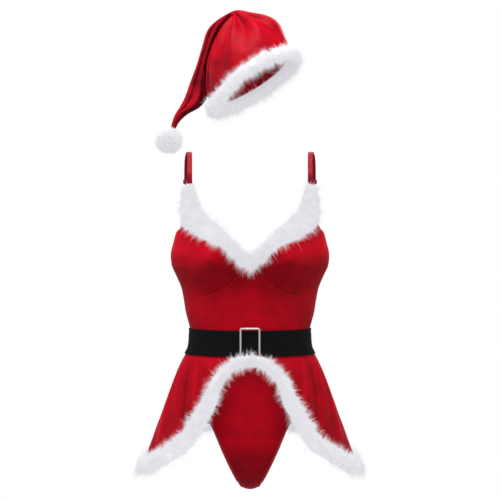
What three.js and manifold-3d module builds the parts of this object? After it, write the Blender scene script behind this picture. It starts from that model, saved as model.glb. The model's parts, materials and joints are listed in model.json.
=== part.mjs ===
// A red velvet costume set, hollow as if worn: a bodysuit on two straps with a flared peplum,
// white fur trim, an elastic belt and a silver buckle, and a pointed hat with a fur brim and a pompom.
// Millimetres, +Z up. The front faces -Y and the viewer's right is +X.
// The origin is midway between the tops of the two shoulder straps.
import * as THREE from 'three';
import { mergeVertices } from 'three/addons/utils/BufferGeometryUtils.js';
import Module from 'manifold-3d';

const wasm = await Module();
wasm.setup();

// Cloth and trim sizes
const velvetThick = 1.6;
const peplumThick = 1.8;
const hatThick = 2;
const seamGap = 0.3;
const neckFurDeep = 15;
const neckFurLift = 1.3;
const hemFurDeep = 17;
const hemFurHalf = 20;
const hemFurLift = 1;
const furEdge = 3;
const bindingWide = 5;
const bindingThick = 2.6;
const bindingGap = 0.45;

// Belt, buckle, strap and slider sizes
const beltTop = -352;
const waistSeam = -368;
const beltMiddle = -386;
const beltBottom = -402;
const peplumLift = 2.4;
const beltThick = 2.2;
const beltLift = peplumLift + 0.4;
const buckle = { wide: 40, tall: 58, bar: 3.6, thick: 3, corner: 3, top: -346, faceY: -96.4 };
const strap = { wide: 10, thick: 1.5 };
const slider = { wide: 15, tall: 8, thick: 5.2, gap: 0.4, gapThrough: 0.44, corner: 1.2, share: 0.545 };

// Hat sizes: the opening's middle, its tilt, and the fur ring and pompom on it
const brim = { x: 5, z: 142, radius: 99, thickHalf: 12, wideHalf: 20, rise: 31.4, lean: 9 };
const pompom = { x: -162.4, y: 6, z: 24.8, core: 21, reach: 29.5, locks: 96 };
const lock = { wide: 3.4, rootShare: 0.8, uneven: 1.2, clearOfTip: 0.82 };

// How finely each piece is divided
const backColumns = 14;
const sideColumns = 6;
const cupColumns = 6;
const cupArmRows = 5;
const beltColumns = 28;
const peplumColumns = 24;
const hemFurSteps = { across: 4, along: 36 };
const neckFurSteps = { across: 6, up: 15 };
const strapSteps = 26;
const brimSteps = { round: 36, section: 10 };
const hatColumns = 24;

const radians = THREE.MathUtils.degToRad;
const lerp = THREE.MathUtils.lerp;

// The worn form by height: half width, and the depth of its front and back from the middle
const figure = [
  { z: -40, half: 146, front: 78, back: 80 },
  { z: -66, half: 150, front: 88, back: 84 },
  { z: -110, half: 148, front: 96, back: 88 },
  { z: -152, half: 147, front: 100, back: 88 },
  { z: -176, half: 152, front: 101, back: 88 },
  { z: -207, half: 158.5, front: 101, back: 87 },
  { z: -224, half: 157, front: 100, back: 86 },
  { z: -248, half: 147, front: 97, back: 84 },
  { z: -272, half: 137, front: 94, back: 81 },
  { z: -300, half: 131.5, front: 92, back: 79 },
  { z: -320, half: 129, front: 91, back: 78 },
  { z: -338, half: 126, front: 90.5, back: 77 },
  { z: -352, half: 121.5, front: 90, back: 76 },
  { z: -368, half: 119, front: 89.5, back: 76 },
  { z: -386, half: 123, front: 90, back: 79 },
  { z: -402, half: 133, front: 91, back: 86 },
  { z: -430, half: 143, front: 94, back: 97 },
  { z: -460, half: 150, front: 95, back: 106 },
  { z: -490, half: 153, front: 95, back: 110 },
  { z: -530, half: 152, front: 94, back: 110 },
  { z: -560, half: 148, front: 92, back: 107 },
  { z: -673, half: 130, front: 0, back: 0 },
];
const crotch = { z: -673, frontFrom: -560, backFrom: -530, curl: 7, curlFrom: -610, curlWide: 20 };
const cupForm = { x: 76, z: -214, deep: 24, wideX: 40, wideZ: 48 };

// Seam between the front parts and the side panel: down the cup's outer edge, then down the waist
const sideSeam = [
  { z: -155, x: 140 },
  { z: -180, x: 137 },
  { z: -207, x: 131 },
  { z: -245, x: 119 },
  { z: -281, x: 103 },
  { z: -312, x: 98 },
  { z: -352, x: 95 },
  { z: -402, x: 97 },
  { z: -450, x: 102 },
  { z: -495, x: 104 },
];
const sideSeamEnd = -495;
const backSeamAngle = 100;
const backTop = { middle: -245, rise: 80, bend: 1.6 };
const sideForm = { underArm: -165, legTop: -446, legFall: 49, bend: 2.2 };

// Cut edges of the leg openings, front and back, as half widths from the middle
const frontLeg = [
  { z: -495, x: 104 },
  { z: -512, x: 90 },
  { z: -532, x: 73 },
  { z: -556, x: 62 },
  { z: -580, x: 52 },
  { z: -604, x: 41.5 },
  { z: -628, x: 31 },
  { z: -648, x: 23 },
  { z: -663, x: 17 },
  { z: -673, x: 14.5 },
];
const backLeg = [
  { z: -446, x: 145 },
  { z: -462, x: 136 },
  { z: -480, x: 122 },
  { z: -505, x: 101 },
  { z: -535, x: 76 },
  { z: -565, x: 56 },
  { z: -595, x: 40 },
  { z: -625, x: 28 },
  { z: -648, x: 20 },
  { z: -663, x: 16 },
  { z: -673, x: 14.5 },
];

// Flat outlines of a cup, each from its inner lower corner or its lower side corner upward
const cupLower = [
  { x: 4, z: -218 },
  { x: 11, z: -229 },
  { x: 20, z: -241 },
  { x: 40, z: -262 },
  { x: 60, z: -275 },
  { x: 80, z: -283 },
  { x: 94, z: -285 },
  { x: 103, z: -281 },
];
const cupNeckEdge = [
  { x: 4, z: -218 },
  { x: 18, z: -206 },
  { x: 38, z: -187 },
  { x: 58, z: -165 },
  { x: 76, z: -146 },
  { x: 90, z: -128 },
  { x: 100, z: -108 },
  { x: 107, z: -86 },
  { x: 112, z: -66 },
];
const cupArmEdge = [
  { x: 140, z: -155 },
  { x: 135, z: -134 },
  { x: 131, z: -104 },
  { x: 129, z: -84 },
  { x: 124, z: -66 },
];

// Flat outlines of the neck fur: the edge along the neckline and the edge over the cup
const furNeckInner = [
  { x: 0, z: -197 },
  { x: 12, z: -192 },
  { x: 28, z: -180 },
  { x: 43, z: -163 },
  { x: 58, z: -146 },
  { x: 70, z: -133 },
  { x: 82, z: -120 },
  { x: 92, z: -101 },
  { x: 100, z: -84 },
  { x: 107, z: -69 },
];
const furNeckOuter = [
  { x: 0, z: -236 },
  { x: 12, z: -229 },
  { x: 34, z: -213 },
  { x: 52, z: -197 },
  { x: 72, z: -187 },
  { x: 88, z: -180 },
  { x: 106, z: -168 },
  { x: 130, z: -152 },
  { x: 139, z: -138 },
  { x: 140, z: -116 },
  { x: 138, z: -88 },
  { x: 128, z: -70 },
];

// The hem of the peplum: the angle from the front middle and the height of its cut edge
const hem = [
  { angle: 0, z: -411 },
  { angle: 11, z: -415 },
  { angle: 21, z: -439 },
  { angle: 26, z: -461 },
  { angle: 28, z: -487 },
  { angle: 33, z: -512 },
  { angle: 38, z: -546 },
  { angle: 43, z: -570 },
  { angle: 54, z: -594 },
  { angle: 66, z: -611 },
  { angle: 80, z: -622 },
  { angle: 92, z: -622 },
  { angle: 110, z: -608 },
  { angle: 130, z: -585 },
  { angle: 150, z: -562 },
  { angle: 180, z: -548 },
];
const flute = { waves: 8, deep: 5, from: -416, fall: 200, most: 1.2 };
const hemRadius = 165;

// Rings of the hat's cloth from the brim over the peak to the pompom: the two ends of each ring
// as seen from the front, its half depth, the lean of its far side and its place in depth
const hatRings = [
  { leftX: -88.7, leftZ: 110.2, rightX: 76.3, rightZ: 210.2, depth: 94, lean: 9, y: 0 },
  { leftX: -88, leftZ: 140, rightX: 70, rightZ: 232, depth: 86, lean: 8, y: 0 },
  { leftX: -86.5, leftZ: 172, rightX: 62, rightZ: 248, depth: 75, lean: 6, y: 0 },
  { leftX: -78.5, leftZ: 204, rightX: 50, rightZ: 262, depth: 62, lean: 3, y: 0 },
  { leftX: -65, leftZ: 231, rightX: 30, rightZ: 272, depth: 50, lean: 0, y: 0 },
  { leftX: -51, leftZ: 250, rightX: 2, rightZ: 280, depth: 41, lean: 0, y: 0 },
  { leftX: -38, leftZ: 266, rightX: -26, rightZ: 287, depth: 33, lean: 0, y: 0 },
  { leftX: -44, leftZ: 265, rightX: -54, rightZ: 281, depth: 28, lean: 0, y: 1 },
  { leftX: -57, leftZ: 248, rightX: -80, rightZ: 262, depth: 24, lean: 0, y: 2 },
  { leftX: -70.5, leftZ: 227, rightX: -93, rightZ: 236, depth: 20, lean: 0, y: 3 },
  { leftX: -80.5, leftZ: 204, rightX: -101, rightZ: 208, depth: 18, lean: 0, y: 4 },
  { leftX: -88.5, leftZ: 171, rightX: -113, rightZ: 172, depth: 17, lean: 0, y: 5 },
  { leftX: -91.5, leftZ: 139, rightX: -124, rightZ: 140, depth: 16, lean: 0, y: 6 },
  { leftX: -100, leftZ: 111, rightX: -136, rightZ: 112, depth: 15, lean: 0, y: 6 },
  { leftX: -114, leftZ: 88, rightX: -144, rightZ: 90, depth: 12, lean: 0, y: 6 },
  { leftX: -131, leftZ: 72, rightX: -151, rightZ: 76, depth: 9, lean: 0, y: 6 },
  { leftX: -144, leftZ: 58, rightX: -156, rightZ: 62, depth: 6.5, lean: 0, y: 6 },
  { leftX: -150.6, leftZ: 43.1, rightX: -159.6, rightZ: 46.1, depth: 4.5, lean: 0, y: 6 },
];

// Soft folds up the crown, and the ring where the crown folds over into the tail
const hatFold = { waves: 4, deep: 4, twist: 0.5, lastRing: 9 };
const hatPeakRing = 7;

// Where a strap runs, between its two sewn ends
const strapStops = [
  { x: 118, y: -58, z: -44 },
  { x: 119, y: -36, z: -12 },
  { x: 121, y: -6, z: -0.75 },
  { x: 125, y: 26, z: -16 },
  { x: 129, y: 46, z: -54 },
  { x: 130, y: 53, z: -110 },
];
const strapFrontEnd = { x: 118, z: -66, lift: 0.8 };
const strapBackEnd = { angle: 128, lift: 1.9, inward: 0.4 };

const velvet = { color: 0x9c0414, roughness: 0.72, metalness: 0 };
const hatVelvet = { color: 0xae0618, roughness: 0.58, metalness: 0 };
const elastic = { color: 0xb81230, roughness: 0.6, metalness: 0 };
const fur = { color: 0xf4f4f6, roughness: 0.95, metalness: 0 };
const webbing = { color: 0x171419, roughness: 0.85, metalness: 0 };
const silver = { color: 0xd2d0d2, roughness: 0.22, metalness: 1 };
const redPlastic = { color: 0x8e0c24, roughness: 0.4, metalness: 0 };

const costume = new THREE.Group();

function addPart(name, geometry, finish) {
  geometry.computeVertexNormals();
  const mesh = new THREE.Mesh(geometry, new THREE.MeshStandardMaterial(finish));
  mesh.name = name;
  costume.add(mesh);
  return mesh;
}

// A smooth function through one column of a table, without overshoot between its rows.
function smoothColumn(rows, key, column) {
  const xs = rows.map((row) => row[key]);
  const ys = rows.map((row) => row[column]);
  const slopes = xs.slice(1).map((x, i) => (ys[i + 1] - ys[i]) / (x - xs[i]));
  const tangents = xs.map((x, i) => {
    const before = slopes[Math.max(i - 1, 0)];
    const after = slopes[Math.min(i, slopes.length - 1)];
    return before * after <= 0 ? 0 : (2 * before * after) / (before + after);
  });
  const falling = xs[1] < xs[0];
  return (value) => {
    const limited = falling
      ? Math.min(xs[0], Math.max(xs[xs.length - 1], value))
      : Math.max(xs[0], Math.min(xs[xs.length - 1], value));
    const passed = xs.filter((x) => (falling ? x >= limited : x <= limited)).length - 1;
    const i = Math.min(passed, slopes.length - 1);
    const step = xs[i + 1] - xs[i];
    const t = (limited - xs[i]) / step;
    const bend = t * t * (3 - 2 * t);
    const leaving = t * (1 - t) * (1 - t) * tangents[i] * step;
    const arriving = t * t * (1 - t) * tangents[i + 1] * step;
    return ys[i] + (ys[i + 1] - ys[i]) * bend + leaving - arriving;
  };
}

// A smooth flat curve through a table's x and z columns, walked evenly from 0 to 1.
function flatCurve(rows) {
  const curve = new THREE.SplineCurve(rows.map((row) => new THREE.Vector2(row.x, row.z)));
  return (t) => curve.getPointAt(t);
}

const figureHalf = smoothColumn(figure, 'z', 'half');
const figureFront = smoothColumn(figure, 'z', 'front');
const figureBack = smoothColumn(figure, 'z', 'back');
const seamX = smoothColumn(sideSeam, 'z', 'x');
const frontLegX = smoothColumn(frontLeg, 'z', 'x');
const backLegX = smoothColumn(backLeg, 'z', 'x');

// Quarter of an ellipse that brings a depth to nothing at the crotch.
function towardCrotch(depthAtStart, start, z) {
  const fallen = Math.min(1, (z - start) / (crotch.z - start));
  return depthAtStart * Math.sqrt(1 - fallen * fallen);
}

function frontDepth(z) {
  const start = crotch.frontFrom;
  return z > start ? figureFront(z) : towardCrotch(figureFront(start), start, z);
}

function backDepth(z) {
  const start = crotch.backFrom;
  return z > start ? figureBack(z) : towardCrotch(figureBack(start), start, z);
}

function cupBulge(x, z) {
  const across = (Math.abs(x) - cupForm.x) / cupForm.wideX;
  const up = (z - cupForm.z) / cupForm.wideZ;
  return cupForm.deep * Math.exp(-across * across - up * up);
}

// Point of the worn form: the angle runs from the front middle, 90 degrees at +X, 180 at the back.
function figurePoint(angle, z, lift = 0) {
  const x = (figureHalf(z) + lift) * Math.sin(angle);
  const facing = Math.cos(angle);
  const depth = facing > 0 ? frontDepth(z) + cupBulge(x, z) : backDepth(z);
  const low = Math.max(0, (crotch.curlFrom - z) / (crotch.curlFrom - crotch.z));
  const curl = crotch.curl * low * low * Math.min(1, (x / crotch.curlWide) ** 2);
  return new THREE.Vector3(x, -(depth + lift) * facing, z + curl);
}

// Point of the worn form's front at a place of its flat outline.
function frontPoint(x, z) {
  const share = THREE.MathUtils.clamp(x / figureHalf(z), -1, 1);
  return figurePoint(Math.asin(share), z);
}

function fromAxis(point) {
  return new THREE.Vector3(point.x, point.y, 0);
}

// Direction of a line of points at one of them; at an end it follows the line's bend.
function slopeAt(k, last, pointAt) {
  if (k > 0 && k < last) return pointAt(k + 1).clone().sub(pointAt(k - 1));
  const sign = k === 0 ? 1 : -1;
  const slope = pointAt(k).clone().multiplyScalar(-3);
  slope.addScaledVector(pointAt(k + sign), 4).addScaledVector(pointAt(k + 2 * sign), -1);
  return slope.multiplyScalar(sign);
}

// Unit normals of a grid of points, turned so that most of them face outward.
function gridNormals(points, outward) {
  let agreement = 0;
  const normals = points.map((row, r) => row.map((point, c) => {
    const down = slopeAt(r, points.length - 1, (k) => points[k][c]);
    const along = slopeAt(c, row.length - 1, (k) => row[k]);
    const normal = down.cross(along).normalize();
    agreement += normal.dot(outward(point, row));
    return normal;
  }));
  if (agreement < 0) normals.forEach((row) => row.forEach((normal) => normal.negate()));
  return normals;
}

function solidFrom(positions, triangles) {
  let volume = 0;
  for (const [a, b, c] of triangles) {
    volume += positions[a].dot(positions[b].clone().cross(positions[c]));
  }
  const facing = volume < 0 ? triangles.map(([a, b, c]) => [a, c, b]) : triangles;
  const geometry = new THREE.BufferGeometry();
  const numbers = new Float32Array(positions.flatMap((point) => point.toArray()));
  geometry.setAttribute('position', new THREE.BufferAttribute(numbers, 3));
  geometry.setIndex(facing.flat());
  return geometry;
}

function addQuad(triangles, a, b, c, d) {
  triangles.push([a, b, c], [a, c, d]);
}

// Closed wall between two lifts of a grid of points; each lift is a number or a function of the
// shares down and along the grid. No point passes the least x.
function wall(points, low, high, { outward = fromAxis, leastX = -Infinity } = {}) {
  const rows = points.length;
  const cols = points[0].length;
  const normals = gridNormals(points, outward);
  const amount = (lift, r, c) => (typeof lift === 'function' ? lift(r / (rows - 1), c / (cols - 1)) : lift);
  const layer = (lift) => points.flatMap((row, r) =>
    row.map((point, c) => point.clone().addScaledVector(normals[r][c], amount(lift, r, c))));
  const positions = [...layer(high), ...layer(low)];
  positions.forEach((point) => point.setX(Math.max(point.x, leastX)));
  const outer = (r, c) => r * cols + c;
  const inner = (r, c) => rows * cols + outer(r, c);
  const triangles = [];
  for (let r = 0; r < rows - 1; r += 1) {
    for (let c = 0; c < cols - 1; c += 1) {
      addQuad(triangles, outer(r, c), outer(r + 1, c), outer(r + 1, c + 1), outer(r, c + 1));
      addQuad(triangles, inner(r, c), inner(r, c + 1), inner(r + 1, c + 1), inner(r + 1, c));
    }
  }
  const last = rows - 1;
  const end = cols - 1;
  for (let c = 0; c < end; c += 1) {
    addQuad(triangles, outer(0, c), outer(0, c + 1), inner(0, c + 1), inner(0, c));
    addQuad(triangles, outer(last, c + 1), outer(last, c), inner(last, c), inner(last, c + 1));
  }
  for (let r = 0; r < last; r += 1) {
    addQuad(triangles, outer(r + 1, 0), outer(r, 0), inner(r, 0), inner(r + 1, 0));
    addQuad(triangles, outer(r, end), outer(r + 1, end), inner(r + 1, end), inner(r, end));
  }
  return solidFrom(positions, triangles);
}

// Closed solid through rings of equal point counts, capped at both ends or closed on itself.
function loft(rings, closed) {
  const sides = rings[0].length;
  const positions = rings.flat();
  const triangles = [];
  const spans = closed ? rings.length : rings.length - 1;
  for (let k = 0; k < spans; k += 1) {
    const here = k * sides;
    const next = ((k + 1) % rings.length) * sides;
    for (let i = 0; i < sides; i += 1) {
      const j = (i + 1) % sides;
      addQuad(triangles, here + i, here + j, next + j, next + i);
    }
  }
  const end = (rings.length - 1) * sides;
  for (let i = 1; i < sides - 1 && !closed; i += 1) {
    triangles.push([0, i + 1, i], [end, end + i, end + i + 1]);
  }
  return solidFrom(positions, triangles);
}

function grid(rowCount, columnCount, pointAt) {
  const rows = [...Array(rowCount + 1).keys()];
  const columns = [...Array(columnCount + 1).keys()];
  return rows.map((r) => columns.map((c) => pointAt(r / rowCount, c / columnCount)));
}

// A cut edge drawn back by half the seam gap, toward the points inside it.
function drawnBack(edge, inside) {
  return edge.map((point, k) =>
    point.clone().lerp(inside[k], seamGap / 2 / point.distanceTo(inside[k])));
}

// Two pieces from one grid, cut along a row.
function splitAtRow(points, row) {
  const above = [...points.slice(0, row), drawnBack(points[row], points[row - 1])];
  const below = [drawnBack(points[row], points[row + 1]), ...points.slice(row + 1)];
  return [above, below];
}

function turned(points) {
  return points[0].map((_, c) => points.map((row) => row[c]));
}

// The same along a column: the piece before it and the piece after it.
function splitAtColumn(points, column) {
  return splitAtRow(turned(points), column).map(turned);
}

// A copy that holds only merged corner points and its triangles.
function bareCopy(geometry) {
  const bare = geometry.clone();
  bare.deleteAttribute('normal');
  bare.deleteAttribute('uv');
  return mergeVertices(bare, 1e-4);
}

// The same solid on the other side of the middle plane.
function mirrored(geometry) {
  const copy = bareCopy(geometry);
  copy.scale(-1, 1, 1);
  const order = Array.from(copy.index.array);
  for (let i = 0; i < order.length; i += 3) {
    [order[i + 1], order[i + 2]] = [order[i + 2], order[i + 1]];
  }
  copy.setIndex(order);
  return copy;
}

function addPair(name, geometry, finish) {
  addPart(`${name}_right`, geometry, finish);
  addPart(`${name}_left`, mirrored(geometry), finish);
}

// Heights that every panel shares around the waist, so that the layers there keep their spacing
const beltRows = [beltTop, waistSeam, beltMiddle, beltBottom];
const waistRows = [-300, -326, ...beltRows, -430];
const crotchRows = [-455, -477, -495, -513, -532, -556, -580, -604, -628, -648, -663, -670, -672.6, -673];
const backLowRows = [-446, -462, -480, -505, -535, -565, -595, -625, -648, -663, -670, -672.6, -673];
const topBlend = [0, 0.2, 0.4, 0.6, 0.8];

// Heights of one column of a panel: its own top edge blended into the shared heights.
function columnHeights(top, lower) {
  return [...topBlend.map((share) => lerp(top, waistRows[0], share)), ...waistRows, ...lower];
}

// Shared places along the seam under a cup, and shared heights along the seam beside it
const cupLowerEdge = flatCurve(cupLower);
const underCup = [...Array(cupColumns + 1).keys()].map((k) => cupLowerEdge(k / cupColumns));
const cupCorner = underCup[cupColumns];
const besideCup = [-155, -173, -191, -209, -227, -245, -263, cupCorner.y];

// The middle front panel, from the seam under the cups to the crotch.
function frontPanel() {
  const rowCount = topBlend.length + waistRows.length + crotchRows.length;
  const halfTop = [...underCup].reverse().map((place) => new THREE.Vector2(-place.x, place.y));
  const topEdge = [...halfTop, ...underCup];
  return grid(rowCount - 1, topEdge.length - 1, (down, along) => {
    const top = topEdge[Math.round(along * (topEdge.length - 1))];
    const heights = columnHeights(top.y - seamGap * 1.5, crotchRows);
    const z = heights[Math.round(down * (rowCount - 1))];
    const half = z > sideSeamEnd ? seamX(Math.min(z, cupCorner.y)) - seamGap / 2 : frontLegX(z);
    const point = figurePoint(Math.asin((top.x / cupCorner.x) * (half / figureHalf(z))), z);
    if (z === crotch.z) point.y -= seamGap / 2;
    return point;
  });
}

function backTopZ(angleFromBack) {
  const share = angleFromBack / radians(180 - backSeamAngle);
  return backTop.middle + backTop.rise * share ** backTop.bend;
}

// The back panel, from its low scooped top edge to the crotch.
function backPanel() {
  const rowCount = topBlend.length + waistRows.length + backLowRows.length;
  const seamHalf = radians(180 - backSeamAngle - 0.17);
  return grid(rowCount - 1, backColumns, (down, along) => {
    const side = 2 * along - 1;
    const heights = columnHeights(backTopZ(Math.abs(side) * seamHalf), backLowRows);
    const z = heights[Math.round(down * (rowCount - 1))];
    const legHalf = Math.asin(backLegX(z) / figureHalf(z));
    const halfAngle = z > backLeg[0].z ? seamHalf : Math.min(seamHalf, legHalf);
    const point = figurePoint(Math.PI - side * halfAngle, z);
    if (z === crotch.z) point.y += seamGap / 2;
    return point;
  });
}

// A side panel, from under the arm to the top of the leg opening.
function sidePanel() {
  const legBlend = [0.3, 0.65, 1];
  const rowCount = besideCup.length + waistRows.length + legBlend.length;
  return grid(rowCount - 1, sideColumns, (down, along) => {
    const top = lerp(besideCup[0], sideForm.underArm, along);
    const bottom = sideForm.legTop - sideForm.legFall * (1 - along) ** sideForm.bend;
    const upper = besideCup.map((height) =>
      lerp(top, cupCorner.y, (height - besideCup[0]) / (cupCorner.y - besideCup[0])));
    const lower = legBlend.map((share) => lerp(waistRows[waistRows.length - 1], bottom, share));
    const z = [...upper, ...waistRows, ...lower][Math.round(down * (rowCount - 1))];
    const frontAngle = Math.asin((seamX(z) + seamGap / 2) / figureHalf(z));
    return figurePoint(lerp(frontAngle, radians(backSeamAngle), along), z);
  });
}

// Patch between four flat curves that share corners.
function patch(lower, upper, inner, outer) {
  return (up, across) => {
    const ends = lower(across).multiplyScalar(1 - up).add(upper(across).multiplyScalar(up));
    const sides = inner(up).multiplyScalar(1 - across).add(outer(up).multiplyScalar(across));
    const low = lower(0).multiplyScalar(1 - across).add(lower(1).multiplyScalar(across));
    const high = upper(0).multiplyScalar(1 - across).add(upper(1).multiplyScalar(across));
    return ends.add(sides).sub(low.multiplyScalar(1 - up)).sub(high.multiplyScalar(up));
  };
}

// A cup, with its outer edge on the side seam and its upper corner under the strap.
function cup() {
  const seamRows = besideCup.length - 1;
  const armEdge = flatCurve(cupArmEdge);
  const outerEdge = (t) => {
    const row = Math.round(t * (seamRows + cupArmRows));
    if (row > seamRows) return armEdge((row - seamRows) / cupArmRows);
    const z = besideCup[seamRows - row];
    return new THREE.Vector2(seamX(z) - seamGap / 2, z);
  };
  const neckEdge = flatCurve(cupNeckEdge);
  const lowerEdge = (t) => underCup[Math.round(t * cupColumns)].clone();
  const upperEdge = (t) => neckEdge(1).lerp(outerEdge(1), t);
  const place = patch(lowerEdge, upperEdge, neckEdge, outerEdge);
  const points = grid(seamRows + cupArmRows, cupColumns, (up, across) => {
    const flat = place(up, across);
    return frontPoint(flat.x, flat.y);
  });
  return wall(points, -velvetThick, 0);
}

// Round profile of a fur band across its width: thin at both edges and full in the middle.
function furProfile(share, deep) {
  return furEdge + (deep - furEdge) * Math.sqrt(Math.max(0, 1 - (2 * share - 1) ** 2));
}

// The neck fur: one band from strap to strap, down over one cup, round the V and up over the other.
function neckFur() {
  const inner = flatCurve(furNeckInner);
  const outer = flatCurve(furNeckOuter);
  const points = grid(2 * neckFurSteps.up, neckFurSteps.across, (along, across) => {
    const side = 2 * along - 1;
    const flat = inner(Math.abs(side)).lerp(outer(Math.abs(side)), across);
    return frontPoint(Math.sign(side) * flat.x, flat.y);
  });
  const high = (along, across) => neckFurLift + furProfile(across, neckFurDeep);
  return wall(points, neckFurLift, high);
}

// The peplum's own form: close to the worn form under the belt, then an even flare.
const flareTop = [waistSeam, beltMiddle, beltBottom];
const flareRows = flareTop.map((z) => ({
  z,
  half: figureHalf(z) + peplumLift,
  front: figureFront(z) + peplumLift,
  back: figureBack(z) + peplumLift,
}));
const flare = [
  ...flareRows,
  { z: flute.from, half: 145, front: 99, back: 97 },
  { z: -440, half: 152, front: 107, back: 110 },
  { z: -606, half: 203, front: 150, back: 160 },
  { z: -660, half: 219, front: 164, back: 176 },
];
const flareHalf = smoothColumn(flare, 'z', 'half');
const flareFront = smoothColumn(flare, 'z', 'front');
const flareBack = smoothColumn(flare, 'z', 'back');

function peplumPoint(angle, z) {
  const fallen = THREE.MathUtils.clamp((flute.from - z) / flute.fall, 0, flute.most);
  const wave = flute.deep * fallen * fallen * Math.cos(flute.waves * angle);
  const facing = Math.cos(angle);
  const depth = facing > 0 ? flareFront(z) : flareBack(z);
  return new THREE.Vector3((flareHalf(z) + wave) * Math.sin(angle), -(depth + wave) * facing, z);
}

// The hem as a curve of millimetres around and height, walked evenly from front to back.
const hemCurve = new THREE.SplineCurve(
  hem.map((row) => new THREE.Vector2(radians(row.angle) * hemRadius, row.z)),
);

// One side of the peplum, from the front middle to the back middle.
function peplum() {
  const halfGap = radians(0.08);
  const underBelt = flareTop.length - 1;
  const downShares = [0, 0.1, 0.22, 0.42, 0.62, 0.82, 1];
  return grid(downShares.length - 1, peplumColumns, (down, along) => {
    const cutEdge = hemCurve.getPointAt(along);
    const row = Math.round(down * (downShares.length - 1));
    const share = downShares[row];
    const angle = lerp(Math.PI * along, cutEdge.x / hemRadius, share);
    const fallen = (share - downShares[underBelt]) / (1 - downShares[underBelt]);
    const z = row <= underBelt ? flareTop[row] : lerp(beltBottom, cutEdge.y, fallen);
    return peplumPoint(THREE.MathUtils.clamp(angle, halfGap, Math.PI - halfGap), z);
  });
}

// The hem fur of one side, from the front middle to the back middle, clear of belt and buckle.
function hemFur() {
  const points = grid(hemFurSteps.across, hemFurSteps.along, (across, along) => {
    const middle = hemCurve.getPointAt(along);
    const run = hemCurve.getTangentAt(along);
    if (along === 0 || along === 1) run.set(1, 0);
    const offset = (2 * across - 1) * hemFurHalf;
    const angle = (middle.x + run.y * offset) / hemRadius;
    const z = middle.y - run.x * offset;
    const point = peplumPoint(THREE.MathUtils.clamp(angle, 0, Math.PI), z);
    const inFront = Math.abs(point.x) < buckle.wide ? buckle.thick + 2 : 0;
    const overBelt = beltLift + beltThick + 2 * seamGap;
    const clear = figurePoint(angle, Math.max(z, beltBottom), overBelt + inFront);
    const nearBelt = z > beltBottom - 6 && angle < 1;
    if (nearBelt && point.y > clear.y) point.y = clear.y;
    return point;
  });
  const high = (across) => hemFurLift + furProfile(across, hemFurDeep);
  return wall(points, hemFurLift, high, { leastX: seamGap / 2 });
}

// The binding around one leg opening, outside the cut edges of the three panels.
function legBinding(front, side, back) {
  const edges = [];
  const take = (edge, inside) => edges.push({ edge, inside });
  const frontRows = front.filter((row) => row[row.length - 1].z < sideSeamEnd - 1);
  frontRows.reverse().forEach((row) => take(row[row.length - 1], row[row.length - 2]));
  const lastRow = side.length - 1;
  side[lastRow].forEach((point, c) => take(point, side[lastRow - 1][c]));
  const backRows = back.filter((row) => row[0].z < backLeg[1].z + 1);
  backRows.forEach((row) => take(row[row.length - 1], row[row.length - 2]));
  const count = edges.length;
  const rings = edges.map(({ edge, inside }, k) => {
    const before = edges[(k + count - 1) % count].edge;
    const after = edges[(k + 1) % count].edge;
    const run = after.clone().sub(before).normalize();
    const out = edge.clone().sub(inside);
    out.addScaledVector(run, -out.dot(run)).normalize();
    const face = run.clone().cross(out).normalize();
    const corner = (across, through) =>
      edge.clone().addScaledVector(out, across).addScaledVector(face, through);
    const near = bindingGap;
    const far = near + bindingWide;
    const skin = (bindingThick - velvetThick) / 2;
    const under = face.dot(fromAxis(edge)) < 0 ? -1 : 1;
    const high = skin * under;
    const low = -(velvetThick + skin) * under;
    return [corner(near, high), corner(far, high), corner(far, low), corner(near, low)];
  });
  return loft(rings, true);
}

// Half of the belt, from its end behind the buckle to the join at the back.
function beltHalf() {
  const halfGap = radians(0.08);
  const points = grid(beltRows.length - 1, beltColumns, (down, along) => {
    const z = beltRows[Math.round(down * (beltRows.length - 1))];
    return figurePoint(THREE.MathUtils.clamp(Math.PI * along, halfGap, Math.PI - halfGap), z, beltLift);
  });
  return wall(points, 0, beltThick, { leastX: seamGap / 2 });
}

function roundedFrame(wide, tall, corner) {
  const shape = new THREE.Shape();
  const x = wide / 2;
  const y = tall / 2;
  shape.moveTo(-x + corner, -y);
  shape.lineTo(x - corner, -y);
  shape.quadraticCurveTo(x, -y, x, -y + corner);
  shape.lineTo(x, y - corner);
  shape.quadraticCurveTo(x, y, x - corner, y);
  shape.lineTo(-x + corner, y);
  shape.quadraticCurveTo(-x, y, -x, y - corner);
  shape.lineTo(-x, -y + corner);
  shape.quadraticCurveTo(-x, -y, -x + corner, -y);
  return shape;
}

function extruded(shape, depth) {
  return new THREE.ExtrudeGeometry(shape, { depth, bevelEnabled: false, curveSegments: 3 });
}

// The buckle: a flat frame on the front of the belt.
function beltBuckle() {
  const frame = roundedFrame(buckle.wide, buckle.tall, buckle.corner);
  const [openWide, openTall] = [buckle.wide - 2 * buckle.bar, buckle.tall - 2 * buckle.bar];
  frame.holes.push(roundedFrame(openWide, openTall, buckle.corner / 2));
  const geometry = extruded(frame, buckle.thick);
  geometry.rotateX(Math.PI / 2);
  geometry.translate(0, buckle.faceY, buckle.top - buckle.tall / 2);
  return geometry;
}

// Middle line of a strap: up from the cup, over the shoulder and down to the back panel.
const backEdgeZ = backTopZ(radians(180 - strapBackEnd.angle));
const strapBack = figurePoint(radians(strapBackEnd.angle), backEdgeZ + strapBackEnd.lift);
const strapFront = frontPoint(strapFrontEnd.x, strapFrontEnd.z);
const strapLine = new THREE.CatmullRomCurve3([
  strapFront.clone().add(new THREE.Vector3(0, velvetThick / 2, strapFrontEnd.lift)),
  ...strapStops.map(({ x, y, z }) => new THREE.Vector3(x, y, z)),
  strapBack.clone().add(new THREE.Vector3(-strapBackEnd.inward, -velvetThick / 2, 0)),
]);

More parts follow.
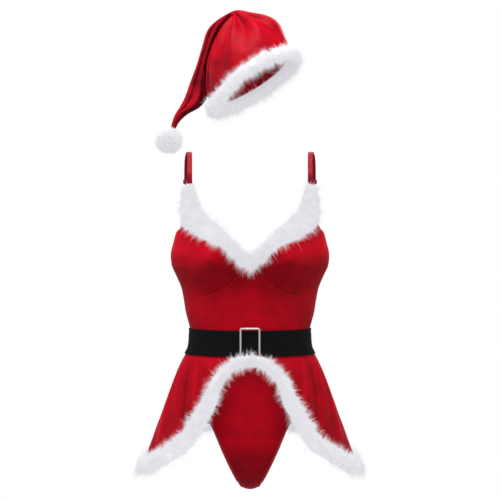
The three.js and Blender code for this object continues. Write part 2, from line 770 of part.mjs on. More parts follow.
// Frame of a strap at a share of its length: its run, its width direction and its outer face.
function strapFrame(share) {
  const run = strapLine.getTangentAt(share);
  const across = new THREE.Vector3(1, 0, 0).addScaledVector(run, -run.x).normalize();
  return { at: strapLine.getPointAt(share), run, across, face: run.clone().cross(across).normalize() };
}

function strapBand() {
  const rings = [...Array(strapSteps + 1).keys()].map((k) => {
    const { at, across, face } = strapFrame(k / strapSteps);
    const corner = (x, y) => at.clone().addScaledVector(across, x).addScaledVector(face, y);
    const x = strap.wide / 2;
    const y = strap.thick / 2;
    return [corner(-x, -y), corner(x, -y), corner(x, y), corner(-x, y)];
  });
  return loft(rings, false);
}

// The slider: a small flat ring around the strap behind the shoulder.
function strapSlider() {
  const frame = roundedFrame(slider.wide, slider.thick, slider.corner);
  const openWide = strap.wide + 2 * slider.gap;
  const openThick = strap.thick + 2 * slider.gapThrough;
  frame.holes.push(roundedFrame(openWide, openThick, slider.corner / 4));
  const geometry = extruded(frame, slider.tall);
  geometry.translate(0, 0, -slider.tall / 2);
  const { at, across, face } = strapFrame(slider.share);
  const turn = new THREE.Matrix4().makeBasis(across, face, across.clone().cross(face));
  geometry.applyMatrix4(turn);
  geometry.translate(at.x, at.y, at.z);
  return geometry;
}

// One ring of the hat's cloth, from the two ends seen from the front and its depth. Soft folds run
// up the crown, deepest halfway to the peak. The ring starts at its right end and passes the back.
function hatRing(row, ring) {
  const left = new THREE.Vector3(row.leftX, row.y, row.leftZ);
  const right = new THREE.Vector3(row.rightX, row.y, row.rightZ);
  const centre = left.clone().lerp(right, 0.5);
  const half = right.clone().sub(left).multiplyScalar(0.5);
  const opening = new THREE.Vector3(half.z, 0, -half.x).normalize();
  const lean = radians(row.lean);
  const deep = new THREE.Vector3(0, Math.cos(lean), 0).addScaledVector(opening, Math.sin(lean));
  return [...Array(hatColumns + 1).keys()].map((c) => {
    const turn = (2 * Math.PI * c) / hatColumns;
    const spoke = half.clone().multiplyScalar(Math.cos(turn));
    spoke.addScaledVector(deep, row.depth * Math.sin(turn));
    const fold = hatFold.deep * Math.sin(Math.PI * Math.min(1, ring / hatFold.lastRing)) ** 2;
    const wave = fold * Math.cos(hatFold.waves * turn + hatFold.twist * ring);
    return centre.clone().addScaledVector(spoke, 1 + wave / spoke.length());
  });
}

function fromRowMiddle(point, row) {
  const middle = row.reduce((sum, other) => sum.add(other), new THREE.Vector3()).divideScalar(row.length);
  return point.clone().sub(middle);
}

// The hat's cloth: a crown of a back and a front half, and a tail with one seam.
function addHatCloth() {
  const lines = turned(hatRings.map(hatRing));
  const lastLine = lines.length - 1;
  lines[0] = drawnBack(lines[0], lines[1]);
  lines[lastLine] = drawnBack(lines[lastLine], lines[lastLine - 1]);
  const [crown, tail] = splitAtRow(turned(lines), hatPeakRing);
  const [back, front] = splitAtColumn(crown, hatColumns / 2);
  for (const [name, points] of Object.entries({ crown_back: back, crown_front: front, tail })) {
    addPart(`hat_${name}`, wall(points, -hatThick, 0, { outward: fromRowMiddle }), hatVelvet);
  }
}

// The brim: a thick fur ring around the opening, wider along the hat than it is deep.
function brimFur() {
  const long = new THREE.Vector3(Math.cos(radians(brim.rise)), 0, Math.sin(radians(brim.rise)));
  const down = new THREE.Vector3(long.z, 0, -long.x);
  const lean = radians(brim.lean);
  const deep = new THREE.Vector3(0, Math.cos(lean), 0).addScaledVector(down, Math.sin(lean));
  const axis = long.clone().cross(deep).normalize();
  const middle = new THREE.Vector3(brim.x, 0, brim.z);
  const rings = [...Array(brimSteps.round).keys()].map((k) => {
    const turn = (2 * Math.PI * k) / brimSteps.round;
    const spoke = long.clone().multiplyScalar(Math.cos(turn)).addScaledVector(deep, Math.sin(turn));
    return [...Array(brimSteps.section).keys()].map((i) => {
      const around = (2 * Math.PI * i) / brimSteps.section;
      const point = middle.clone().addScaledVector(spoke, brim.radius + brim.thickHalf * Math.cos(around));
      return point.addScaledVector(axis, brim.wideHalf * Math.sin(around));
    });
  });
  return loft(rings, true);
}

function toManifold(geometry) {
  const merged = bareCopy(geometry);
  const mesh = new wasm.Mesh({
    numProp: 3,
    vertProperties: merged.attributes.position.array,
    triVerts: new Uint32Array(merged.index.array),
  });
  return new wasm.Manifold(mesh);
}

function toGeometry(solid) {
  const mesh = solid.getMesh();
  const geometry = new THREE.BufferGeometry();
  geometry.setAttribute('position', new THREE.BufferAttribute(new Float32Array(mesh.vertProperties), 3));
  geometry.setIndex(Array.from(mesh.triVerts));
  return geometry;
}

// The pompom: a round core with tapered locks rooted in it, all but where the hat's tip meets it.
function pompomBall() {
  let ball = toManifold(new THREE.IcosahedronGeometry(pompom.core, 2));
  const tipRow = hatRings[hatRings.length - 1];
  const tipX = (tipRow.leftX + tipRow.rightX) / 2 - pompom.x;
  const tipZ = (tipRow.leftZ + tipRow.rightZ) / 2 - pompom.z;
  const tip = new THREE.Vector3(tipX, 0, tipZ).normalize();
  const goldenTurn = Math.PI * (3 - Math.sqrt(5));
  const up = new THREE.Vector3(0, 1, 0);
  for (let k = 0; k < pompom.locks; k += 1) {
    const height = 1 - (2 * k + 1) / pompom.locks;
    const across = Math.sqrt(1 - height * height);
    const turn = goldenTurn * k;
    const out = new THREE.Vector3(across * Math.cos(turn), across * Math.sin(turn), height);
    if (out.dot(tip) > lock.clearOfTip) continue;
    const root = pompom.core * lock.rootShare;
    const length = pompom.reach - root - lock.uneven * (k % 3);
    const tuft = new THREE.ConeGeometry(lock.wide, length, 3, 1);
    tuft.translate(0, length / 2, 0);
    tuft.applyQuaternion(new THREE.Quaternion().setFromUnitVectors(up, out));
    tuft.translate(out.x * root, out.y * root, out.z * root);
    ball = ball.add(toManifold(tuft));
  }
  const geometry = toGeometry(ball);
  geometry.translate(pompom.x, pompom.y, pompom.z);
  return geometry;
}

const front = frontPanel();
const back = backPanel();
const side = sidePanel();
const waistRow = topBlend.length + waistRows.indexOf(waistSeam);

// The front and the back are cut at the waist seam, and the seat at the middle seam.
const [frontBodice, frontBrief] = splitAtRow(front, waistRow);
const [backBodice, seat] = splitAtRow(back, waistRow);
const [, seatRight] = splitAtColumn(seat, backColumns / 2);
const ownSide = { leastX: seamGap / 2 };
addPart('front_bodice', wall(frontBodice, -velvetThick, 0), velvet);
addPart('front_brief', wall(frontBrief, -velvetThick, 0), velvet);
addPart('back_bodice', wall(backBodice, -velvetThick, 0), velvet);
addPair('back_brief', wall(seatRight, -velvetThick, 0, ownSide), velvet);
addPair('side_panel', wall(side, -velvetThick, 0), velvet);
addPair('cup', cup(), velvet);
addPair('leg_binding', legBinding(front, side, back), elastic);
addPair('strap', strapBand(), elastic);
addPair('strap_slider', strapSlider(), redPlastic);

// The peplum is cut at its side seam.
const [peplumFront, peplumBack] = splitAtColumn(peplum(), peplumColumns / 2);
addPair('peplum_front', wall(peplumFront, -peplumThick, 0, ownSide), velvet);
addPair('peplum_back', wall(peplumBack, -peplumThick, 0, ownSide), velvet);
addPair('belt', beltHalf(), webbing);
addPart('buckle', beltBuckle(), silver);
addPart('neck_fur', neckFur(), fur);
addPair('hem_fur', hemFur(), fur);
addHatCloth();
addPart('hat_brim_fur', brimFur(), fur);
addPart('hat_pompom', pompomBall(), fur);

export default costume;
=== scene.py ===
# %% [markdown]
# A red velvet costume set, hollow as if worn: a strap bodysuit with a flared peplum, white fur trim,
# a belt and a buckle, and a pointed hat with a fur brim and a pompom. The solid model gives every
# piece its place. This file dresses each piece: a surface is a function of two shares on a grid,
# worked out for all points at once with numpy, and the fur is thousands of fine tapered hairs.

# %% Load the frame
import json
import math
import bpy
import numpy as np
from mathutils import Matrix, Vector

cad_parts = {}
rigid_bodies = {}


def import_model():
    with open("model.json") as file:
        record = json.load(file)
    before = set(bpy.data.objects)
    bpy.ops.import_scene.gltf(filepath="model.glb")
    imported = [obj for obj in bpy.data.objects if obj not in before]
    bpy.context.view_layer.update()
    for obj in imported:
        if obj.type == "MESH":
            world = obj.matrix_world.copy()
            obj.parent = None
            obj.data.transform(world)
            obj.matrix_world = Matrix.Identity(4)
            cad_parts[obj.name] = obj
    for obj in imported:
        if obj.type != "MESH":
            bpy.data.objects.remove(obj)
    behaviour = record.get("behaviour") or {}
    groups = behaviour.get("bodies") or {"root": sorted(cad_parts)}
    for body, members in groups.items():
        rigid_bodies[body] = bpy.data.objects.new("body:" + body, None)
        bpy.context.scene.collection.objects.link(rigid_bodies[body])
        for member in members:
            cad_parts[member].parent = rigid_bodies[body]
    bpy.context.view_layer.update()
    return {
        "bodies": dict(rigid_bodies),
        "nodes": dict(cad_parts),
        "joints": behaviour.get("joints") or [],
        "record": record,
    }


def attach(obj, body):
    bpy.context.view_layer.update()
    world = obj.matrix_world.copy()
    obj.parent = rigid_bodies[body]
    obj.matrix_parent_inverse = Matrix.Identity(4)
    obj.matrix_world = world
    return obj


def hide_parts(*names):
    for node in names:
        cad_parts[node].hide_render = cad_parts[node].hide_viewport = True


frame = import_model()

# %% [markdown]
# The camera stands 2.6 m in front at the height of the ribs, as in a catalogue picture, so the belt
# smiles a little and the hat is seen slightly from below. The frame is one metre wide at the garment.
# The light is soft and white from all round. One large lamp high in front models the form, and three
# weaker ones fill it from both sides and from behind.

# %% Camera, floor and light
MM = 0.001
CAMERA_AWAY = 2600
CAMERA_HIGH = -196
FRAME_WIDE = 1000
FLOOR_Z = -1360
scene = bpy.context.scene

camera_data = bpy.data.cameras.new("camera")
camera_data.sensor_width = 36
camera_data.lens = camera_data.sensor_width * CAMERA_AWAY / FRAME_WIDE
camera = bpy.data.objects.new("camera", camera_data)
camera.location = (0, -CAMERA_AWAY * MM, CAMERA_HIGH * MM)
camera.rotation_euler = (math.pi / 2, 0, 0)
scene.collection.objects.link(camera)
scene.camera = camera
scene.view_settings.view_transform = "Standard"
scene.view_settings.look = "None"


def srgb(code):
    """Linear colour of a hex code: each channel is lifted by the sRGB curve's power of 2.4."""
    channels = np.array([int(code[i:i + 2], 16) / 255 for i in (0, 2, 4)])
    low = channels / 12.92
    high = ((channels + 0.055) / 1.055) ** 2.4
    return (*np.where(channels <= 0.04045, low, high), 1.0)


def area_lamp(name, place, aim, size, watts):
    """A square soft lamp at a place in mm that faces a point in mm."""
    data = bpy.data.lights.new(name, "AREA")
    data.size = size * MM
    data.energy = watts
    lamp = bpy.data.objects.new(name, data)
    lamp.location = [value * MM for value in place]
    toward = np.array(aim, float) - np.array(place, float)
    lamp.rotation_mode = "QUATERNION"
    lamp.rotation_quaternion = Vector(toward).to_track_quat("-Z", "Y")
    scene.collection.objects.link(lamp)


area_lamp("top_lamp", (-90, -1050, 2050), (0, 0, -250), 1400, 82)
area_lamp("left_lamp", (-1900, -900, 500), (0, 0, -250), 1100, 14)
area_lamp("right_lamp", (1900, -900, 500), (0, 0, -250), 1100, 12)
area_lamp("back_lamp", (300, 1900, 900), (0, 0, -200), 1400, 14)

# %% [markdown]
# A material is a small graph of nodes. One helper adds a node with its settings and links, so each
# recipe below reads as a list: where the pattern is read, how fine it is, and which socket it feeds.

# %% Material helper
def add_node(tree, kind, links=None, **settings):
    """Add one node, set its sockets and properties, and link the sockets named in links."""
    node = tree.nodes.new(kind)
    for name, value in settings.items():
        label = name.replace("_", " ")
        if label in node.inputs:
            node.inputs[label].default_value = value
        else:
            setattr(node, name, value)
    for name, source in (links or {}).items():
        tree.links.new(source, node.inputs[name])
    return node


def start_material(name, **sockets):
    """A new material with its shader's sockets set by name."""
    material = bpy.data.materials.new(name)
    material.use_nodes = True
    shader = material.node_tree.nodes["Principled BSDF"]
    for socket, value in sockets.items():
        shader.inputs[socket.replace("_", " ")].default_value = value
    return material, material.node_tree, shader


def add_math(tree, operation, value, number, added=None):
    """One step of arithmetic on a socket and a number, and a socket to add where the step takes one."""
    links = {0: value} if added is None else {0: value, 2: added}
    node = add_node(tree, "ShaderNodeMath", links, operation=operation)
    node.inputs[1].default_value = number
    return node.outputs[0]


def add_ramp(tree, value, low, high):
    """Share of the way that a socket has gone from low to high, held between 0 and 1."""
    ramp = add_node(tree, "ShaderNodeMapRange", {"Value": value})
    ramp.inputs["From Min"].default_value = low
    ramp.inputs["From Max"].default_value = high
    return ramp.outputs["Result"]


def add_noise(tree, place, blotch_mm, detail):
    """Noise whose blotches are about this many millimetres across."""
    noise = add_node(tree, "ShaderNodeTexNoise", {"Vector": place}, Scale=1000 / blotch_mm, Detail=detail)
    return noise.outputs["Fac"]


def add_bump(tree, shader, height, strength, deep_mm):
    """Bump of a shader from the height in a socket."""
    bump = add_node(tree, "ShaderNodeBump", {"Height": height}, Strength=strength, Distance=deep_mm * MM)
    tree.links.new(bump.outputs["Normal"], shader.inputs["Normal"])


MIX_INPUTS = (6, 7)
MIX_OUTPUT = 2


def add_mix(tree, factor, *colours):
    """Mix of two colours, each a hex code or a socket, by the numbers that a Mix node keeps them at."""
    mix = add_node(tree, "ShaderNodeMix", data_type="RGBA")
    tree.links.new(factor, mix.inputs["Factor"])
    for number, colour in zip(MIX_INPUTS, colours):
        if isinstance(colour, str):
            mix.inputs[number].default_value = srgb(colour)
        else:
            tree.links.new(colour, mix.inputs[number])
    return mix.outputs[MIX_OUTPUT]


# %% [markdown]
# The room is white round the horizon, as a lit studio cove is, and dimmer above and below, so that
# the velvet keeps its darks. The strength falls smoothly with the height of the direction looked in.

# %% White room
world = bpy.data.worlds.new("white_room")
world.use_nodes = True
room = world.node_tree
way = add_node(room, "ShaderNodeTexCoord").outputs["Generated"]
height = add_node(room, "ShaderNodeSeparateXYZ", {"Vector": way}).outputs["Z"]
steep = add_node(room, "ShaderNodeMath", {0: height}, operation="ABSOLUTE")
light = add_node(room, "ShaderNodeMapRange", {"Value": steep.outputs[0]}, interpolation_type="SMOOTHSTEP")
for name, value in {"From Min": 0.2, "From Max": 0.45, "To Min": 1.0, "To Max": 0.15}.items():
    light.inputs[name].default_value = value
room.links.new(light.outputs["Result"], room.nodes["Background"].inputs["Strength"])
room.nodes["Background"].inputs["Color"].default_value = (1, 1, 1, 1)
scene.world = world

# %% [markdown]
# Velvet is cut pile: short upright fibres that look dark straight on and glow at grazing angles.
# The shader's sheen gives that glow. Cloth that faces up is painted a brighter red than cloth that
# faces down, as painted light and shade from above: each vertex keeps that share in an attribute.
# The pile also leans in patches a few centimetres wide, and its fibres give a fine grain, drawn at 1.2 mm.

# %% Velvet
GRAIN_MM = 1.2
PAINTED_LIGHT_WEIGHT = 1.3
PILE_RANGE = 0.65


def velvet_material(name, deep, bright, glow, rough, sheen, patch_mm, crush):
    """Pile in patches of two reds, with a sheen of a third hex colour at grazing angles. The share of
    the brighter red is the grain, plus the patches times crush, plus painted light times its weight."""
    material, tree, shader = start_material(
        name, Roughness=rough, Sheen_Weight=sheen, Sheen_Roughness=0.3,
        Sheen_Tint=srgb(glow), Specular_IOR_Level=0.06)
    place = add_node(tree, "ShaderNodeTexCoord").outputs["Object"]
    patches = add_noise(tree, place, patch_mm, detail=4.0)
    grain = add_noise(tree, place, GRAIN_MM, detail=2.0)
    mixed = add_math(tree, "MULTIPLY_ADD", patches, crush, grain)
    # Painted light and shade: cloth that faces up is painted brighter, cloth that faces down darker.
    painted_light = add_node(tree, "ShaderNodeAttribute", attribute_name="painted_light").outputs["Fac"]
    brushed = add_math(tree, "MULTIPLY_ADD", painted_light, PAINTED_LIGHT_WEIGHT, mixed)
    middle = 0.5 + 0.5 * crush
    share = add_ramp(tree, brushed, middle - PILE_RANGE, middle + PILE_RANGE)
    tree.links.new(add_mix(tree, share, deep, bright), shader.inputs["Base Color"])
    add_bump(tree, shader, grain, strength=0.25, deep_mm=0.4)
    return material


bodysuit_velvet = velvet_material(
    "deep_red_stretch_velvet", "5C0004", "C8001E", "FF2448", rough=0.7, sheen=0.4, patch_mm=34, crush=0.6)
hat_velvet = velvet_material(
    "bright_red_plush_velvet", "3C0004", "AA0218", "FF3858", rough=0.5, sheen=0.6, patch_mm=26, crush=1.7)

# %% [markdown]
# The fur is white down on a cord, soft and rough, with almost no gloss. Down passes light on from
# fibre to fibre, so its shaded side stays bright. Few light bounces lose that, and a glow of its own
# stands for it: the hair's colour is a mid grey, and more than half of the white that shows is glow.

# %% Fur, elastic, webbing and metal
def plain_noise_material(name, deep, bright, blotch_mm, bump_mm, **sockets):
    """A material whose colour wanders between two hex values, with a fine bump."""
    material, tree, shader = start_material(name, **sockets)
    place = add_node(tree, "ShaderNodeTexCoord").outputs["Object"]
    blotch = add_noise(tree, place, blotch_mm, detail=3.0)
    tree.links.new(add_mix(tree, blotch, deep, bright), shader.inputs["Base Color"])
    add_bump(tree, shader, add_noise(tree, place, bump_mm, detail=2.0), strength=0.3, deep_mm=0.3)
    return material


fur_hair = plain_noise_material("white_down_hair", "9D9CA0", "ABAAAE", 14, 2, Roughness=0.8,
                                Specular_IOR_Level=0.1, Emission_Strength=0.53,
                                Emission_Color=srgb("F4F3F8"))
buckle_metal = plain_noise_material("polished_nickel_plate", "ACA4A2", "C0B9B8", 9, 3,
                                    Metallic=1.0, Roughness=0.16)
slider_coat = plain_noise_material("red_nylon_coat", "7E0A20", "96102A", 5, 1,
                                   Roughness=0.32, Specular_IOR_Level=0.5)


INNER_SIDE_MM = 100
INNER_SIDE_SHADE_VALUE = 0.62
FUZZ_MM = 1.0


def ribbed_material(name, deep, bright, rib_mm, bump, along, **sockets):
    """A woven band: ribs every rib_mm along one axis of the piece's own UV map, in millimetres. The
    map's part beyond INNER_SIDE_MM is the band's inner side, painted in shade at three fifths of the
    brightness."""
    material, tree, shader = start_material(name, **sockets)
    uv = add_node(tree, "ShaderNodeUVMap", uv_map="cloth_mm").outputs["UV"]
    parts = add_node(tree, "ShaderNodeSeparateXYZ", {"Vector": uv}).outputs
    turns = add_math(tree, "MULTIPLY", parts[along], 2 * math.pi / rib_mm)
    wave = add_node(tree, "ShaderNodeMath", {0: turns}, operation="SINE").outputs[0]
    place = add_node(tree, "ShaderNodeTexCoord").outputs["Object"]
    fuzz = add_noise(tree, place, FUZZ_MM, detail=2.0)
    height = add_node(tree, "ShaderNodeMath", {0: wave, 1: fuzz}, operation="ADD").outputs[0]
    tone = add_mix(tree, add_ramp(tree, height, low=-0.6, high=1.6), deep, bright)
    # The band's inner side is painted in shade: its colour's value is cut to three fifths.
    inner = add_math(tree, "GREATER_THAN", parts["Y"], INNER_SIDE_MM / 2)
    painted_shade = add_node(tree, "ShaderNodeHueSaturation", {"Color": tone}, Value=INNER_SIDE_SHADE_VALUE)
    shown = add_mix(tree, inner, tone, painted_shade.outputs["Color"])
    tree.links.new(shown, shader.inputs["Base Color"])
    add_bump(tree, shader, height, bump, deep_mm=0.4)
    return material


belt_webbing = ribbed_material("black_elastic_webbing", "040305", "0A090A", 2.0, 0.5, "Y",
                               Roughness=0.85, Specular_IOR_Level=0.1)
satin_elastic = ribbed_material("red_satin_elastic", "7C0416", "980A22", 1.6, 0.3, "X",
                                Roughness=0.4, Specular_IOR_Level=0.12)
binding_elastic = ribbed_material("red_fold_over_elastic", "80061A", "9C0E26", 1.8, 0.35, "X",
                                  Roughness=0.6, Specular_IOR_Level=0.2)

FLOOR_RADIUS = 3000
FLOOR_SIDES = 96


def add_floor():
    """A round pale floor, far below the set."""
    turn = np.arange(FLOOR_SIDES) * 2 * math.pi / FLOOR_SIDES
    rim = np.stack([np.cos(turn) * FLOOR_RADIUS, np.sin(turn) * FLOOR_RADIUS,
                    np.full(FLOOR_SIDES, FLOOR_Z)], axis=1)
    mesh = bpy.data.meshes.new("floor")
    mesh.from_pydata((rim * MM).tolist(), [], [tuple(range(FLOOR_SIDES))])
    mesh.materials.append(plain_noise_material("pale_floor", "DEDEE0", "E4E4E6", 900, 60, Roughness=0.9))
    floor = bpy.data.objects.new("floor", mesh)
    scene.collection.objects.link(floor)


add_floor()

# %% [markdown]
# Every shape comes from short tables: sizes by height, or the corners of a cut edge. A smooth curve
# runs through each column without overshoot, so a table of twenty rows gives the whole figure.

# %% Tables and curves
def table(names, *rows):
    """Columns by name from rows of numbers."""
    return dict(zip(names.split(), np.array(rows, float).T))


def smooth(places, values):
    """Curve through a column: between two rows a cubic whose end slopes are the harmonic mean of the
    slopes on both sides, so it never swings past a row."""
    order = np.argsort(places)
    xs, ys = places[order], values[order]
    slopes = np.diff(ys) / np.diff(xs)
    before = np.concatenate([slopes[:1], slopes])
    after = np.concatenate([slopes, slopes[-1:]])
    same = before * after > 0
    total = np.where(same, before + after, 1)
    tangents = np.where(same, 2 * before * after / total, 0)

    def curve(at):
        at = np.clip(at, xs[0], xs[-1])
        i = np.clip(np.searchsorted(xs, at, side="right") - 1, 0, len(slopes) - 1)
        step = xs[i + 1] - xs[i]
        t = (at - xs[i]) / step
        bend = t * t * (3 - 2 * t)
        leaving = t * (1 - t) ** 2 * tangents[i] * step
        arriving = t * t * (1 - t) * tangents[i + 1] * step
        return ys[i] + (ys[i + 1] - ys[i]) * bend + leaving - arriving
    return curve


def round_cubic(padded, i, u):
    """The stretch between rows i + 1 and i + 2, at share u: the cubic whose end slopes are half the
    way between the neighbours."""
    a, b, c, d = (padded[i + k] for k in range(4))
    return 0.5 * (2 * b + (c - a) * u + (2 * a - 5 * b + 4 * c - d) * u ** 2
                  + (3 * b - a - 3 * c + d) * u ** 3)


def smooth_rows(values):
    """Round curve through evenly numbered rows."""
    padded = np.concatenate([[2 * values[0] - values[1]], values, [2 * values[-1] - values[-2]]])

    def curve(at):
        i = np.minimum(at.astype(int), len(values) - 2)
        return round_cubic(padded, i, at - i)
    return curve


def distances(line):
    """Distance walked from a line's start to each of its points."""
    return np.concatenate([[0], np.cumsum(np.linalg.norm(np.diff(line, axis=0), axis=1))])


def read_line(line, length, share):
    """Points at shares of the whole length, read between a line's own points."""
    return np.stack([np.interp(share * length[-1], length, column) for column in line.T], axis=-1)


def walked(points, count=400):
    """A round curve through points, walked evenly: share 0 to 1 gives the point at that share of its
    length."""
    points = np.asarray(points, float)
    padded = np.concatenate([points[:1], points, points[-1:]])
    t = np.linspace(0, len(points) - 1, count)
    i = np.minimum(t.astype(int), len(points) - 2)
    line = round_cubic(padded, i, (t - i)[:, None])
    length = distances(line)

    def at(share):
        return read_line(line, length, share)
    return at


def ease(value):
    """0 to 1 with level ends: three squares less two cubes."""
    value = np.clip(value, 0, 1)
    return value * value * (3 - 2 * value)


def shares(rows, columns):
    """Two grids of shares from 0 to 1, down the rows and along the columns."""
    return np.meshgrid(np.linspace(0, 1, rows), np.linspace(0, 1, columns), indexing="ij")


# %% [markdown]
# The worn form is a stack of flattened rounds. Each height has a half width, a front depth and a
# back depth, and an angle walks round it from the front middle. The cups bulge by a soft mound.

# %% The worn form
FIGURE = table(
    "z half front back",
    (-40, 146, 78, 80), (-66, 150, 88, 84), (-110, 148, 96, 88), (-152, 147, 100, 88),
    (-176, 152, 101, 88), (-207, 158.5, 101, 87), (-224, 157, 100, 86), (-248, 147, 97, 84),
    (-272, 137, 94, 81), (-300, 131.5, 92, 79), (-320, 128, 91, 78), (-338, 123.5, 90.5, 77),
    (-352, 120, 90, 76), (-368, 118, 89.5, 76), (-386, 119.5, 90, 79), (-402, 126, 91, 86),
    (-430, 139, 94, 97), (-460, 150, 95, 106), (-490, 153, 95, 110), (-530, 152, 94, 110),
    (-560, 148, 92, 107), (-673, 130, 0, 0))
CROTCH_Z = -673
SIDE_SEAM = table("z x", (-155, 140), (-180, 137), (-207, 131), (-245, 119), (-281, 103),
                  (-312, 98), (-352, 95), (-402, 97), (-450, 102), (-495, 104))
FRONT_LEG = table("z x", (-495, 104), (-512, 90), (-532, 73), (-556, 62), (-580, 52),
                  (-604, 41.5), (-628, 31), (-648, 23), (-663, 17), (-673, 14.5))
BACK_LEG = table("z x", (-446, 145), (-462, 136), (-480, 122), (-505, 101), (-535, 76),
                 (-565, 56), (-595, 40), (-625, 28), (-648, 20), (-663, 16), (-673, 14.5))
SIDE_SEAM_END = -495
BACK_SEAM = math.radians(100)
CUP_CORNER_Z = -281
CUP_TOP_Z = -155

CUP_MOUND = {"high": 24, "x": 76, "wide": 40, "z": -214, "tall": 48}
FRONT_CLOSES = {"depth": 92, "start": -560}
BACK_CLOSES = {"depth": 110, "start": -530}
CROTCH_CURL = {"high": 7, "start": -610, "wide": 20}

figure_half = smooth(FIGURE["z"], FIGURE["half"])
figure_front = smooth(FIGURE["z"], FIGURE["front"])
figure_back = smooth(FIGURE["z"], FIGURE["back"])
seam_x = smooth(SIDE_SEAM["z"], SIDE_SEAM["x"])
front_leg_x = smooth(FRONT_LEG["z"], FRONT_LEG["x"])
back_leg_x = smooth(BACK_LEG["z"], BACK_LEG["x"])


def toward_crotch(upper, closing, z):
    """Depths from the table down to a start, then a quarter of an ellipse to nothing at the crotch."""
    fallen = np.clip((z - closing["start"]) / (CROTCH_Z - closing["start"]), 0, 1)
    return np.where(z > closing["start"], upper(z), closing["depth"] * np.sqrt(1 - fallen ** 2))


def figure_point(angle, z, lift=0.0):
    """Point of the worn form: half width times the sine, depth times minus the cosine, with a mound
    for each cup and the edges of the crotch curled up."""
    x = (figure_half(z) + lift) * np.sin(angle)
    facing = np.cos(angle)
    beside = (np.abs(x) - CUP_MOUND["x"]) / CUP_MOUND["wide"]
    above = (z - CUP_MOUND["z"]) / CUP_MOUND["tall"]
    mound = CUP_MOUND["high"] * np.exp(-beside ** 2 - above ** 2)
    front = toward_crotch(figure_front, FRONT_CLOSES, z) + mound
    back = toward_crotch(figure_back, BACK_CLOSES, z)
    depth = np.where(facing > 0, front, back) + lift
    low = np.clip((CROTCH_CURL["start"] - z) / (CROTCH_CURL["start"] - CROTCH_Z), 0, 1)
    curl = CROTCH_CURL["high"] * low ** 2 * np.minimum(1, (x / CROTCH_CURL["wide"]) ** 2)
    return np.stack([x, -depth * facing, z + curl], axis=-1)


def front_point(flat):
    """Point of the form's front at flat places with an x and a height."""
    x, z = flat[..., 0], flat[..., 1]
    return figure_point(np.arcsin(np.clip(x / figure_half(z), -1, 1)), z)


# %% [markdown]
# A cloth wall is a grid of points with a second grid behind it. The normal at each point is the
# cross product of the two slopes. Folds and creases move the points along that normal before the
# second grid is made, so a fold shows on both faces, and the edges roll inward like a turned seam.

# %% Grids into meshes
def grid_normals(points, ringed=False):
    """Unit cross product of the slopes down and along a grid, turned away from the upright axis."""
    down = np.gradient(points, axis=0)
    if ringed:
        along = np.roll(points, -1, axis=1) - np.roll(points, 1, axis=1)
        middle = points.mean(axis=1, keepdims=True)
    else:
        along = np.gradient(points, axis=1)
        middle = np.zeros(3)
    normals = np.cross(down, along)
    normals /= np.linalg.norm(normals, axis=-1, keepdims=True) + 1e-12
    outward = (points - middle) * ((1, 1, 1) if ringed else (1, 1, 0))
    return normals if (normals * outward).sum() > 0 else -normals


def make_piece(name, points, faces, finish, replaced, uv=None, painted_light=None):
    """Put points in mm and lists of faces into a mesh piece that rides on the garment."""
    mesh = bpy.data.meshes.new(name)
    corners = np.concatenate([block.ravel() for block in faces])
    totals = np.concatenate([np.full(len(block), block.shape[1]) for block in faces])
    mesh.vertices.add(len(points))
    mesh.vertices.foreach_set("co", (points * MM).astype(np.float32).ravel())
    mesh.loops.add(len(corners))
    mesh.loops.foreach_set("vertex_index", corners.astype(np.int32))
    mesh.polygons.add(len(totals))
    starts = np.concatenate([[0], np.cumsum(totals)[:-1]])
    mesh.polygons.foreach_set("loop_start", starts.astype(np.int32))
    mesh.polygons.foreach_set("use_smooth", np.ones(len(totals), bool))
    if uv is not None:
        layer = mesh.uv_layers.new(name="cloth_mm")
        layer.data.foreach_set("uv", uv[corners].astype(np.float32).ravel())
    # Each point's share of painted light and shade, which the velvet reads for its colour.
    if painted_light is not None:
        share = mesh.attributes.new("painted_light", "FLOAT", "POINT")
        share.data.foreach_set("value", painted_light.astype(np.float32))
    mesh.materials.append(finish)
    mesh.update()
    mesh.validate()
    piece = bpy.data.objects.new(name, mesh)
    scene.collection.objects.link(piece)
    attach(piece, "root")
    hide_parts(*replaced)
    return piece


def numbered(row, col, cols):
    """Number of a grid's point, counted row by row. The column after the last is the first again."""
    return row * cols + col % cols


def quads(rows, cols, rows_close=False, cols_close=False):
    """Quads between neighbours of a grid of points, closed on itself if asked."""
    row_starts, col_starts = np.arange(rows - (not rows_close)), np.arange(cols - (not cols_close))
    r, c = (part.ravel() for part in np.meshgrid(row_starts, col_starts, indexing="ij"))
    below = (r + 1) % rows
    corners = ((r, c), (below, c), (below, c + 1), (r, c + 1))
    return np.stack([numbered(row, col, cols) for row, col in corners], axis=1)


def wall_faces(rows, cols, ringed=False):
    """Quads of an outer grid, an inner grid and the rims between them."""
    outer = quads(rows, cols, cols_close=ringed)
    behind = rows * cols
    r, c = np.arange(rows - 1), np.arange(cols if ringed else cols - 1)
    edges = [(numbered(0, c, cols), numbered(0, c + 1, cols)),
             (numbered(rows - 1, c + 1, cols), numbered(rows - 1, c, cols))]
    if not ringed:
        edges += [(numbered(r + 1, 0, cols), numbered(r, 0, cols)),
                  (numbered(r, cols - 1, cols), numbered(r + 1, cols - 1, cols))]
    rims = [np.stack([one, other, other + behind, one + behind], axis=1) for one, other in edges]
    return np.concatenate([outer, outer[:, ::-1] + behind, *rims])


def facing_out(points, faces):
    """Turn all faces round when the signed volume of the corners is negative."""
    a, b, c = points[faces[:, 0]], points[faces[:, 1]], points[faces[:, 2]]
    d = points[faces[:, -1]]
    volume = (a * np.cross(b, c)).sum() + (a * np.cross(c, d)).sum()
    return faces if volume > 0 else faces[:, ::-1]


